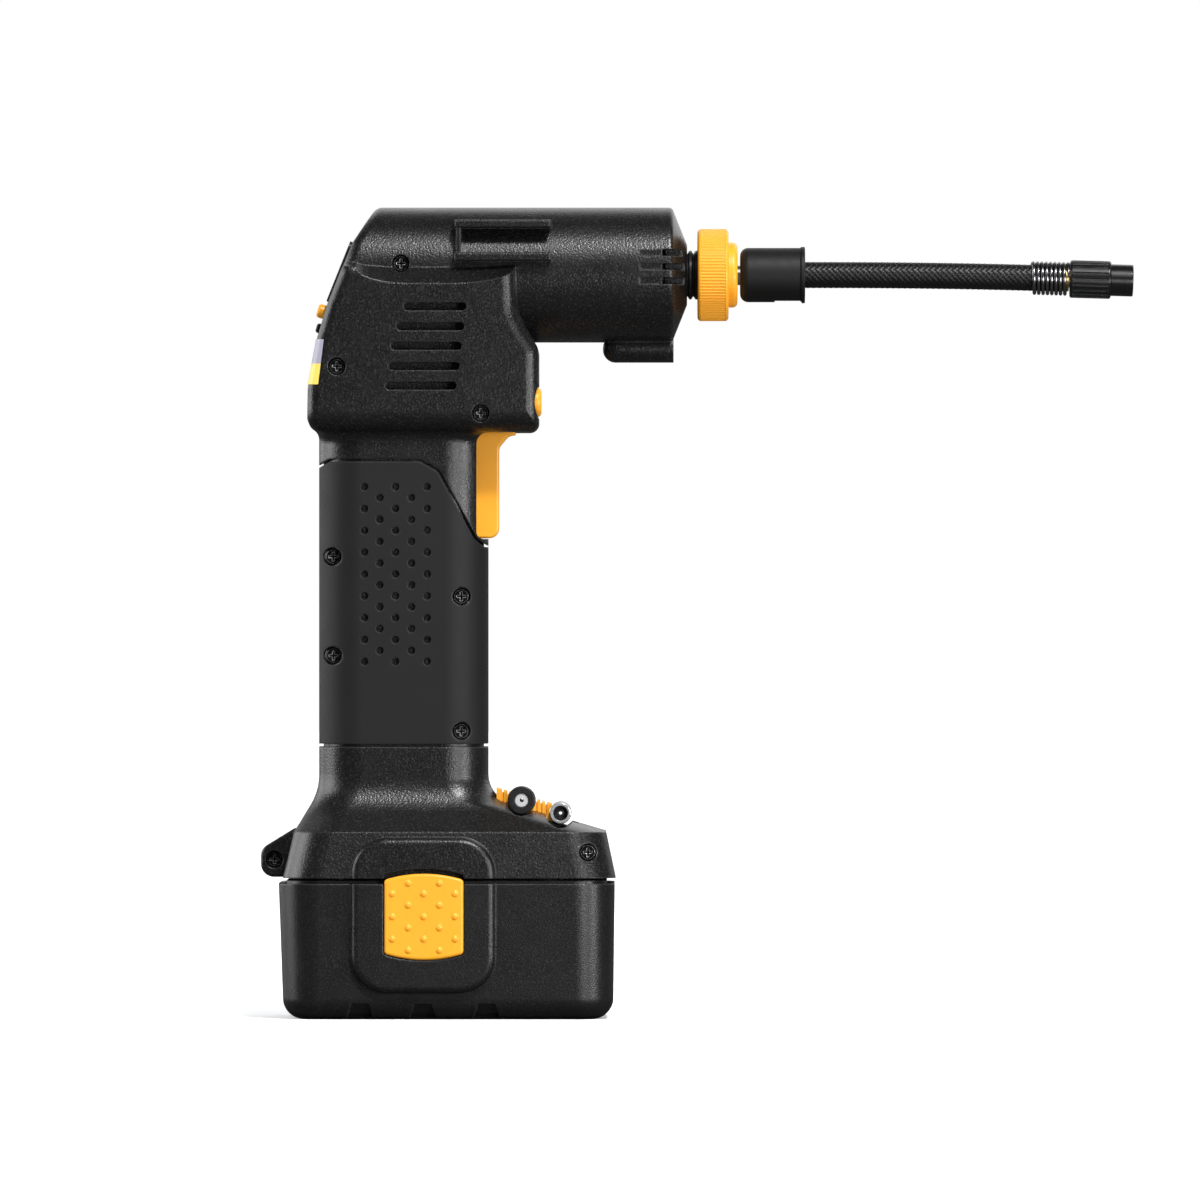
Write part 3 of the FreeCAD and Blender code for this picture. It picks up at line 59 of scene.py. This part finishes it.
CENTRE = Vector((30 * MM, 0, 150 * MM))         # what the lights point at
KEY_FROM = Vector((0.26, -0.59, 0.76))
KEY_SUN, KEY_SPREAD = 2.8, 7                    # W/m2 and degrees
KEY_BOX_AWAY, KEY_BOX_SIZE, KEY_BOX_POWER = 1.3, (0.8, 0.8), 3.5
BOXES = (
    # name, place, size, watts
    ("front_box", (0.42, -0.85, 0.06), (0.30, 0.45), 4.0),
    ("right_box", (0.95, -0.70, 0.05), (0.30, 0.60), 8.0),
    ("left_rim", (-1.1, 0.05, 0.40), (0.7, 0.9), 9.0),
    ("back_box", (0.4, 1.5, 1.0), (2.0, 1.4), 9.0),
    ("back_left_box", (-1.3, 1.1, 0.45), (1.0, 1.2), 7.0),
)

# Floor and world are white to the camera. Diffuse and mirrored rays see them darker, because the black
# plastic would otherwise mirror them and come out grey.
WORLD_SOFT_COLOUR, WORLD_SOFT = (0.94, 0.97, 1, 1), 0.45
WORLD_TURN = (0.1, 0.95)         # Y of the direction between which the mirrored world brightens
WORLD_MIRRORED = (0.05, 0.35)    # its strength before and after that
FLOOR_HALF = 12.0
FLOOR_SEEN, FLOOR_GLOW = 0.93, 0.25
FLOOR_SOFT, FLOOR_MIRRORED = 0.32, 0.05


def make_camera():
    data = bpy.data.cameras.new("camera")
    data.lens = LENS
    data.sensor_width = SENSOR
    camera = bpy.data.objects.new("camera", data)
    bpy.context.scene.collection.objects.link(camera)
    camera.location = (AIM_X, -FRAME_WIDTH * LENS / SENSOR, AIM_Z)
    camera.rotation_euler = (math.radians(90), 0, 0)
    bpy.context.scene.camera = camera


def area_light(name, place, size, power):
    data = bpy.data.lights.new(name, "AREA")
    data.shape = "RECTANGLE"
    data.size, data.size_y = size
    data.energy = power
    light = bpy.data.objects.new(name, data)
    bpy.context.scene.collection.objects.link(light)
    light.location = place
    light.rotation_euler = (CENTRE - Vector(place)).to_track_quat("-Z", "Y").to_euler()


def sun_light(name, direction, strength, spread):
    """Light from the direction (x, y, z), with a source spread degrees across."""
    data = bpy.data.lights.new(name, "SUN")
    data.energy = strength
    data.angle = math.radians(spread)
    light = bpy.data.objects.new(name, data)
    bpy.context.scene.collection.objects.link(light)
    light.rotation_euler = Vector(direction).to_track_quat("Z", "Y").to_euler()


def make_lights():
    sun_light("key", KEY_FROM, KEY_SUN, KEY_SPREAD)
    area_light("key_box", CENTRE + KEY_FROM * KEY_BOX_AWAY, KEY_BOX_SIZE, KEY_BOX_POWER)
    for box in BOXES:
        area_light(*box)


def by_ray(tree, seen, soft, mirrored, output):
    """One shader for camera rays, one for diffuse rays and one for the rest."""
    path = tree.nodes.new("ShaderNodeLightPath")
    others = tree.nodes.new("ShaderNodeMixShader")
    tree.links.new(path.outputs["Is Diffuse Ray"], others.inputs["Fac"])
    tree.links.new(mirrored.outputs[0], others.inputs[1])
    tree.links.new(soft.outputs[0], others.inputs[2])
    mix = tree.nodes.new("ShaderNodeMixShader")
    tree.links.new(path.outputs["Is Camera Ray"], mix.inputs["Fac"])
    tree.links.new(others.outputs[0], mix.inputs[1])
    tree.links.new(seen.outputs[0], mix.inputs[2])
    tree.links.new(mix.outputs[0], output.inputs["Surface"])


def make_world():
    """White where the camera looks past the floor. Mirrored, it is brighter behind the tool than in front."""
    world = bpy.data.worlds.new("studio")
    bpy.context.scene.world = world
    world.use_nodes = True
    tree = world.node_tree
    seen = tree.nodes["Background"]
    seen.inputs["Color"].default_value = (*grey(1), 1)
    soft = tree.nodes.new("ShaderNodeBackground")
    soft.inputs["Color"].default_value = WORLD_SOFT_COLOUR
    soft.inputs["Strength"].default_value = WORLD_SOFT
    mirrored = tree.nodes.new("ShaderNodeBackground")
    heading = tree.nodes.new("ShaderNodeTexCoord")
    parts = tree.nodes.new("ShaderNodeSeparateXYZ")
    behind = tree.nodes.new("ShaderNodeMapRange")
    behind.interpolation_type = "SMOOTHSTEP"
    behind.inputs["From Min"].default_value, behind.inputs["From Max"].default_value = WORLD_TURN
    behind.inputs["To Min"].default_value, behind.inputs["To Max"].default_value = WORLD_MIRRORED
    tree.links.new(heading.outputs["Generated"], parts.inputs[0])
    tree.links.new(parts.outputs["Y"], behind.inputs["Value"])
    tree.links.new(behind.outputs["Result"], mirrored.inputs["Strength"])
    by_ray(tree, seen, soft, mirrored, tree.nodes["World Output"])


def make_floor():
    mesh = bpy.data.meshes.new("floor")
    corners = ((-1, -1), (1, -1), (1, 1), (-1, 1))
    mesh.from_pydata([(x * FLOOR_HALF, y * FLOOR_HALF, 0) for x, y in corners], [], [(0, 1, 2, 3)])
    floor = bpy.data.objects.new("floor", mesh)
    bpy.context.scene.collection.objects.link(floor)
    material = bpy.data.materials.new("floor_paint")
    material.use_nodes = True
    tree = material.node_tree
    seen = tree.nodes["Principled BSDF"]
    seen.inputs["Base Color"].default_value = (*grey(FLOOR_SEEN), 1)
    seen.inputs["Roughness"].default_value = 1.0
    seen.inputs["Specular IOR Level"].default_value = 0.0
    seen.inputs["Emission Color"].default_value = (*grey(1), 1)
    seen.inputs["Emission Strength"].default_value = FLOOR_GLOW
    soft = tree.nodes.new("ShaderNodeBsdfDiffuse")
    soft.inputs["Color"].default_value = (*grey(FLOOR_SOFT), 1)
    mirrored = tree.nodes.new("ShaderNodeBsdfDiffuse")
    mirrored.inputs["Color"].default_value = (*grey(FLOOR_MIRRORED), 1)
    by_ray(tree, seen, soft, mirrored, tree.nodes["Material Output"])
    mesh.materials.append(material)


# ------------------------------------------------------------------ procedural materials
class Recipe:
    """A material under construction: its node tree, shader and object coordinates."""

    def __init__(self, name):
        self.material = bpy.data.materials.new(name)
        self.material.use_nodes = True
        self.tree = self.material.node_tree
        self.shader = self.tree.nodes["Principled BSDF"]
        self.place = self.tree.nodes.new("ShaderNodeTexCoord").outputs["Object"]
        self.normal = None

    def node(self, kind, **settings):
        made = self.tree.nodes.new(kind)
        for key, value in settings.items():
            setattr(made, key, value)
        return made

    def link(self, source, target):
        self.tree.links.new(source, target)

    def set(self, **values):
        """Constants, straight on the shader's sockets."""
        for key, value in values.items():
            self.shader.inputs[key.replace("_", " ")].default_value = value

    def colour(self, source):
        self.link(source, self.shader.inputs["Base Color"])

    def roughness(self, source):
        self.link(source, self.shader.inputs["Roughness"])

    def noise(self, size, detail, rough=0.5):
        """Noise whose features are about size metres across."""
        made = self.node("ShaderNodeTexNoise")
        made.inputs["Scale"].default_value = 1.0 / size
        made.inputs["Detail"].default_value = detail
        made.inputs["Roughness"].default_value = rough
        self.link(self.place, made.inputs["Vector"])
        return made.outputs["Fac"]

    def span(self, value, low, high, start=0.0, end=1.0):
        """low where value is start, high where it is end."""
        made = self.node("ShaderNodeMapRange")
        self.link(value, made.inputs["Value"])
        made.inputs["From Min"].default_value = start
        made.inputs["From Max"].default_value = end
        made.inputs["To Min"].default_value = low
        made.inputs["To Max"].default_value = high
        return made.outputs["Result"]

    def combine(self, kind, a, b):
        made = self.node("ShaderNodeMath", operation=kind)
        for socket, value in zip(made.inputs, (a, b)):
            self.fill(socket, value)
        return made.outputs[0]

    def mix(self, factor, first, second):
        """first where factor is 0, second where it is 1. Each is a colour or a socket."""
        made = self.node("ShaderNodeMix", data_type="RGBA")
        self.link(factor, made.inputs["Factor"])
        self.fill(made.inputs["A"], first)
        self.fill(made.inputs["B"], second)
        return made.outputs["Result"]

    def fill(self, socket, value):
        if isinstance(value, tuple):
            socket.default_value = (*value, 1)
        elif isinstance(value, (int, float)):
            socket.default_value = value
        else:
            self.link(value, socket)

    def bump(self, height, depth):
        made = self.node("ShaderNodeBump")
        made.inputs["Distance"].default_value = depth
        self.link(height, made.inputs["Height"])
        if self.normal is not None:
            self.link(self.normal, made.inputs["Normal"])
        self.normal = made.outputs["Normal"]

    def edges(self, radius):
        """0 on flat skin to 1 on convex and concave edges, within radius metres of them."""
        bevel = self.node("ShaderNodeBevel", samples=BEVEL_SAMPLES)
        bevel.inputs["Radius"].default_value = radius
        geometry = self.node("ShaderNodeNewGeometry")
        dot = self.node("ShaderNodeVectorMath", operation="DOT_PRODUCT")
        self.link(bevel.outputs["Normal"], dot.inputs[0])
        self.link(geometry.outputs["Normal"], dot.inputs[1])
        return self.span(dot.outputs["Value"], 1.0, 0.0, *EDGE_TURN)

    def soften(self, radius):
        """Rounds shading over edges."""
        bevel = self.node("ShaderNodeBevel", samples=BEVEL_SAMPLES)
        bevel.inputs["Radius"].default_value = radius
        self.normal = bevel.outputs["Normal"]

    def finish(self):
        if self.normal is not None:
            self.link(self.normal, self.shader.inputs["Normal"])
        return self.material


BEVEL_SAMPLES = 4
EDGE_TURN = (0.80, 0.99)         # cosine between bevelled and true normal: an edge, and flat skin
RUBBED_AND_SHEEN = grey(0.09)              # rubbed plastic, and painted sheen along its edges
BARED = grey(0.16)               # rubbed plating
# painted glint on the screws' cross recess
PAINTED_GLINT = grey(0.9)


def moulded_plastic(name, dark, light, rough, grain, depth, rub_and_sheen, shine, painted_glints=0.0):
    """Moulded plastic skin with a spark-eroded grain and painted glints on its peaks; its edges are painted a
    little paler, partly rubbed wear and partly painted sheen.
    """
    r = Recipe(name)
    speck = r.noise(grain, 1.5, 0.55)
    colour = r.mix(r.noise(18 * MM, 3), dark, light)
    if painted_glints:
        # Painted glints: pale specks on the grain's peaks, standing for grain catching the light.
        colour = r.mix(r.span(speck, 0.0, 0.5, 0.56, 0.74), colour, grey(painted_glints))
    # Paler edges: partly rubbed wear, partly painted sheen, on convex and concave edges alike.
    wear_and_sheen = r.combine("MULTIPLY", r.edges(0.9 * MM), r.span(r.noise(3 * MM, 4), 0.3 * rub_and_sheen, rub_and_sheen, 0.35, 0.7))
    r.colour(r.mix(wear_and_sheen, colour, RUBBED_AND_SHEEN))
    patches = r.span(r.noise(9 * MM, 3), rough - 0.05, rough + 0.05)
    r.roughness(r.combine("ADD", r.span(speck, -0.10, 0.10), patches))
    r.soften(0.8 * MM)
    r.bump(speck, depth)
    r.set(IOR=1.5, Specular_IOR_Level=shine)
    return r.finish()


def yellow_plastic(name):
    r = Recipe(name)
    r.colour(r.mix(r.noise(14 * MM, 3), (0.84, 0.345, 0.012), (0.88, 0.38, 0.018)))
    r.roughness(r.span(r.noise(4 * MM, 4), 0.30, 0.44))
    r.set(Subsurface_Weight=0.08, Subsurface_Radius=(0.004, 0.002, 0.0005), Subsurface_Scale=0.3, IOR=1.49)
    r.soften(0.3 * MM)
    r.bump(r.noise(0.35 * MM, 2), 0.012 * MM)
    return r.finish()


def rubber(name, base, rough, shine):
    r = Recipe(name)
    r.colour(r.mix(r.noise(8 * MM, 3), grey(base), grey(base * 1.5)))
    r.roughness(r.span(r.noise(2.5 * MM, 4), rough, rough + 0.18))
    r.set(Specular_IOR_Level=shine)
    r.soften(0.3 * MM)
    r.bump(r.noise(0.3 * MM, 2), 0.02 * MM)
    return r.finish()


def metal(name, colour, rough, scratch, metallic=1.0):
    """Metal whose roughness goes from rough up by scratch."""
    r = Recipe(name)
    shade = tuple(c * 0.86 for c in colour)
    r.colour(r.mix(r.noise(6 * MM, 4), shade, colour))
    r.roughness(r.span(r.noise(0.6 * MM, 4), rough, rough + scratch))
    r.set(Metallic=metallic)
    r.soften(0.15 * MM)
    r.bump(r.noise(0.4 * MM, 3), 0.006 * MM)
    return r.finish()


def clear_plastic(name, colour, transmission):
    r = Recipe(name)
    shade = tuple(c * 0.9 for c in colour)
    r.colour(r.mix(r.noise(10 * MM, 2), shade, colour))
    r.roughness(r.span(r.noise(2 * MM, 3), 0.06, 0.06 + 0.08))
    r.set(Transmission_Weight=transmission, IOR=1.49)
    r.bump(r.noise(1.5 * MM, 3), 0.004 * MM)
    return r.finish()


def plain_skin(name, first, second, rough):
    r = Recipe(name)
    size = 3 * MM
    r.colour(r.mix(r.noise(size, 3), first, second))
    r.roughness(r.span(r.noise(size * 0.4, 3), rough - 0.06, rough + 0.08))
    r.soften(0.2 * MM)
    r.bump(r.noise(size * 0.2, 2), 0.01 * MM)
    return r.finish()


def black_plating(name, colour, rough):
    """Dark glossy zinc plating, rubbed a little brighter on its edges."""
    r = Recipe(name)
    shade = tuple(c * 0.7 for c in colour)
    # On the plating the paler edges are rubbed wear only.
    wear_and_sheen = r.combine("MULTIPLY", r.edges(0.25 * MM), r.span(r.noise(1.5 * MM, 4), 0.0, 0.5, 0.4, 0.7))
    r.colour(r.mix(wear_and_sheen, r.mix(r.noise(3 * MM, 4), shade, colour), BARED))
    r.roughness(r.span(r.noise(1.2 * MM, 4), rough, rough + 0.12))
    r.set(Specular_IOR_Level=0.45)
    r.soften(0.25 * MM)
    r.bump(r.noise(0.4 * MM, 3), 0.008 * MM)
    return r.finish()


def screw_zinc(name):
    """Black zinc with painted glints on the edges of the cross recess."""
    r = Recipe(name)
    base = r.mix(r.noise(1.5 * MM, 4), grey(0.004), grey(0.010))
    # Painted glints: the cross recess's edges painted near white.
    wear_and_sheen = r.combine("MULTIPLY", r.edges(0.35 * MM), r.span(r.noise(0.5 * MM, 3), 0.2, 1.0, 0.35, 0.6))
    r.colour(r.mix(wear_and_sheen, base, PAINTED_GLINT))
    r.roughness(r.span(r.noise(0.8 * MM, 3), 0.25, 0.40))
    r.set(Metallic=0.5, Specular_IOR_Level=0.12)
    r.soften(0.2 * MM)
    r.bump(r.noise(0.3 * MM, 3), 0.01 * MM)
    return r.finish()


LABEL_SPLIT_Z = 217.4 * MM


def label_film(name):
    """Printed film: silver-grey above LABEL_SPLIT_Z, yellow below."""
    r = Recipe(name)
    parts = r.node("ShaderNodeSeparateXYZ")
    r.link(r.place, parts.inputs[0])
    upper = r.combine("GREATER_THAN", parts.outputs["Z"], LABEL_SPLIT_Z)
    silver = r.mix(r.noise(6 * MM, 3), (0.30, 0.29, 0.36), (0.36, 0.35, 0.43))
    yellow = r.mix(r.noise(6 * MM, 3), (0.80, 0.58, 0.10), (0.86, 0.64, 0.13))
    r.colour(r.mix(upper, yellow, silver))
    r.roughness(r.span(r.noise(2 * MM, 3), 0.24, 0.36))
    r.soften(0.2 * MM)
    r.bump(r.noise(0.8 * MM, 2), 0.006 * MM)
    return r.finish()


def make_materials():
    """One material for each material slot of the record."""
    return {
        "black_plastic": moulded_plastic(
            "grained_black", dark=(0.0045, 0.0045, 0.0046), light=(0.0065, 0.0065, 0.0067), rough=0.30,
            grain=0.60 * MM, depth=0.11 * MM, rub_and_sheen=0.5, shine=0.5, painted_glints=0.05),
        "satin_black_plastic": moulded_plastic(
            "satin_black", dark=grey(0.005), light=grey(0.0075), rough=0.33,
            grain=0.50 * MM, depth=0.055 * MM, rub_and_sheen=0.5, shine=0.5, painted_glints=0.03),
        "grip_skin": moulded_plastic(
            "grip_matt", dark=(0.006, 0.006, 0.0062), light=(0.009, 0.009, 0.0093), rough=0.60,
            grain=0.25 * MM, depth=0.02 * MM, rub_and_sheen=0.4, shine=0.30),
        "yellow_plastic": yellow_plastic("warm_yellow"),
        "black_rubber": rubber("moulded_rubber", 0.004, rough=0.44, shine=0.30),
        "braid": rubber("braid_yarn", 0.004, rough=0.30, shine=0.30),
        "black_steel": black_plating("black_zinc", (0.006, 0.006, 0.0065), rough=0.18),
        "chrome_plate": metal("chrome", (0.82, 0.82, 0.83), rough=0.10, scratch=0.06, metallic=0.7),
        "steel": metal("plain_steel", (0.52, 0.52, 0.53), rough=0.30, scratch=0.12),
        "cast_alloy": metal("cast_alloy", (0.45, 0.45, 0.46), rough=0.45, scratch=0.15),
        "brass": metal("turned_brass", (0.72, 0.52, 0.24), rough=0.25, scratch=0.1),
        "magnet": metal("ferrite", (0.06, 0.06, 0.065), rough=0.5, scratch=0.1),
        "copper_steel": metal("laminations", (0.40, 0.33, 0.28), rough=0.4, scratch=0.1),
        "smoked_lens": clear_plastic("smoked_lens", (0.03, 0.03, 0.035), transmission=0.35),
        "clear_lens": clear_plastic("clear_lens", (0.82, 0.84, 0.86), transmission=0.9),
        "display": plain_skin("display_cell", (0.20, 0.24, 0.20), (0.24, 0.28, 0.23), rough=0.2),
        "board": plain_skin("board_mask", (0.01, 0.08, 0.03), (0.015, 0.11, 0.04), rough=0.35),
        "sticker": label_film("sticker_film"),
        "cell_can": metal("cell_can", (0.35, 0.37, 0.36), rough=0.35, scratch=0.1),
        "spring_steel": metal("spring_wire", grey(0.5), rough=0.25, scratch=0.1),
        "white_plastic": plain_skin("diode", (0.75, 0.75, 0.72), (0.82, 0.82, 0.8), rough=0.3),
    }


def dress_nodes(materials):
    """Gives every CAD node the procedural material of its slot, or its own version of it."""
    slot_of = {s["node"]: s["material_slot"] for s in frame["record"]["subparts"]}
    own = {
        "housing_screws": screw_zinc("screw_zinc"),
        "needle_stem": metal("needle_steel", (0.75, 0.75, 0.76), rough=0.35, scratch=0.1, metallic=0.6),
    }
    for name, obj in nodes.items():
        obj.data.materials.clear()
        obj.data.materials.append(own.get(name) or materials[slot_of[name]])


# ------------------------------------------------------------------ hose
HOSE_D = 8.8 * MM
HOSE_ROUTE = (
    # millimetres, from inside the boot to inside the chuck
    (103.0, 0.0, 247.3),
    (129.0, 0.0, 247.35),
    (158.0, 0.0, 247.15),
    (184.0, 0.0, 246.7),
    (205.0, 0.0, 246.1),
)
HOSE_STEP = 0.30 * MM            # between rings of the mesh
HOSE_SIDES = 112
YARN_PAIRS = 14                  # yarns each way round the hose
YARN_CELL = 1.9 * MM             # length of one crossing along the hose
YARN_DEPTH = 0.28 * MM

WIRE_R = 0.62 * MM
WIRE_SIDES = 12
COIL_R = HOSE_D / 2 + 0.02 * MM + 0.65 * MM
COIL_PITCH = 1.45 * MM
COIL_SPAN = (-10.35 * MM, 1.95 * MM)    # along the hose's last direction, from its end
COIL_STEPS = 56                  # rings of the mesh in one turn
COIL_THIN, COIL_THICKEN = 0.35, 0.065   # thickness at either end, and what each ring adds up to 1
ACROSS = Vector((0, 1, 0))       # square to the hose's whole route


def route_line(points):
    """Points along the smooth line of the route, as a NURBS curve gives them."""
    curve = bpy.data.curves.new("hose_route", "CURVE")
    curve.dimensions = "3D"
    spline = curve.splines.new("NURBS")
    spline.points.add(len(points) - 1)
    for point, place in zip(spline.points, points):
        point.co = (place[0] * MM, place[1] * MM, place[2] * MM, 1)
    spline.order_u = 3
    spline.use_endpoint_u = True
    spline.resolution_u = 24
    obj = bpy.data.objects.new("hose_route", curve)
    bpy.context.scene.collection.objects.link(obj)
    mesh = bpy.data.meshes.new_from_object(obj)
    line = [v.co.copy() for v in mesh.vertices]
    bpy.data.objects.remove(obj)
    bpy.data.curves.remove(curve)
    bpy.data.meshes.remove(mesh)
    return line


def resample(line, step):
    """Even steps along a line, with the direction at each, and the line's length."""
    lengths = [0.0]
    for a, b in zip(line, line[1:]):
        lengths.append(lengths[-1] + (b - a).length)
    count = max(2, round(lengths[-1] / step))
    places = []
    i = 0
    for k in range(count + 1):
        want = lengths[-1] * k / count
        while i < len(line) - 2 and lengths[i + 1] < want:
            i += 1
        share = (want - lengths[i]) / max(lengths[i + 1] - lengths[i], 1e-9)
        places.append(line[i].lerp(line[i + 1], share))
    headings = [(places[min(k + 1, count)] - places[max(k - 1, 0)]).normalized() for k in range(count + 1)]
    return places, headings, lengths[-1]


def braid_height(around, along):
    """0 to 1: yarns crossing over and under each other round a hose."""
    a = YARN_PAIRS * around + along / YARN_CELL
    b = YARN_PAIRS * around - along / YARN_CELL
    over_a = (math.floor(a) + math.floor(b)) % 2 == 0
    across, down = (a % 1, b % 1) if over_a else (b % 1, a % 1)
    return math.sin(math.pi * across) ** 0.6 * (0.55 + 0.45 * math.sin(math.pi * down))


def tube_mesh(name, rings, sides):
    """Closed tube through rings of points, capped at both ends."""
    verts = [v for ring in rings for v in ring]
    faces = []
    for i in range(len(rings) - 1):
        for k in range(sides):
            n = (k + 1) % sides
            faces.append((i * sides + k, i * sides + n, (i + 1) * sides + n, (i + 1) * sides + k))
    faces.append(tuple(range(sides - 1, -1, -1)))
    last = (len(rings) - 1) * sides
    faces.append(tuple(range(last, last + sides)))
    mesh = bpy.data.meshes.new(name)
    mesh.from_pydata([tuple(v) for v in verts], [], faces)
    mesh.validate()
    bm = bmesh.new()
    bm.from_mesh(mesh)
    bmesh.ops.recalc_face_normals(bm, faces=bm.faces)
    bm.to_mesh(mesh)
    bm.free()
    for polygon in mesh.polygons:
        polygon.use_smooth = True
    piece = bpy.data.objects.new(name, mesh)
    bpy.context.scene.collection.objects.link(piece)
    return piece


def make_end_spring():
    """Wire wound round the end of the hose, with both ends ground thin."""
    end = Vector(HOSE_ROUTE[-1]) * MM
    heading = (end - Vector(HOSE_ROUTE[-2]) * MM).normalized()
    up = heading.cross(ACROSS).normalized()
    turns = (COIL_SPAN[1] - COIL_SPAN[0]) / COIL_PITCH
    steps = round(turns * COIL_STEPS)
    rings = []
    for i in range(steps + 1):
        angle = 2 * math.pi * i / COIL_STEPS
        out = ACROSS * math.cos(angle) + up * math.sin(angle)
        middle = end + heading * (COIL_SPAN[0] + COIL_PITCH * i / COIL_STEPS) + out * COIL_R
        thin = min(1.0, COIL_THIN + COIL_THICKEN * min(i, steps - i))
        ring = []
        for k in range(WIRE_SIDES):
            turn = 2 * math.pi * k / WIRE_SIDES
            ring.append(middle + (out * math.cos(turn) + heading * math.sin(turn)) * (WIRE_R * thin))
        rings.append(ring)
    spring = tube_mesh("wound_end_spring", rings, WIRE_SIDES)
    spring.data.materials.append(metal("spring_zinc", (0.30, 0.30, 0.31), rough=0.16, scratch=0.08))
    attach(spring, "hose_set")
    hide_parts("hose_end_spring")
    return spring


def make_hose(materials):
    """Hose with its woven cover as real relief, attached with the spring at its end to the hose set in place
    of the CAD hose.
    """
    spring = make_end_spring()
    places, headings, length = resample(route_line(HOSE_ROUTE), HOSE_STEP)
    rings = []
    for i, (place, heading) in enumerate(zip(places, headings)):
        up = heading.cross(ACROSS).normalized()
        along = length * i / (len(places) - 1)
        ring = []
        for k in range(HOSE_SIDES):
            turn = k / HOSE_SIDES
            r = HOSE_D / 2 - YARN_DEPTH * (1 - braid_height(turn, along))
            angle = 2 * math.pi * turn
            ring.append(place + ACROSS * (r * math.cos(angle)) + up * (r * math.sin(angle)))
        rings.append(ring)
    hose = tube_mesh("braided_hose", rings, HOSE_SIDES)
    hose.data.materials.append(materials["braid"])
    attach(hose, "hose_set")
    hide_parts("air_hose")


# ------------------------------------------------------------------ the whole scene
bpy.context.scene.view_settings.view_transform = "Standard"
make_camera()
make_world()
make_lights()
make_floor()
materials = make_materials()
dress_nodes(materials)
make_hose(materials)
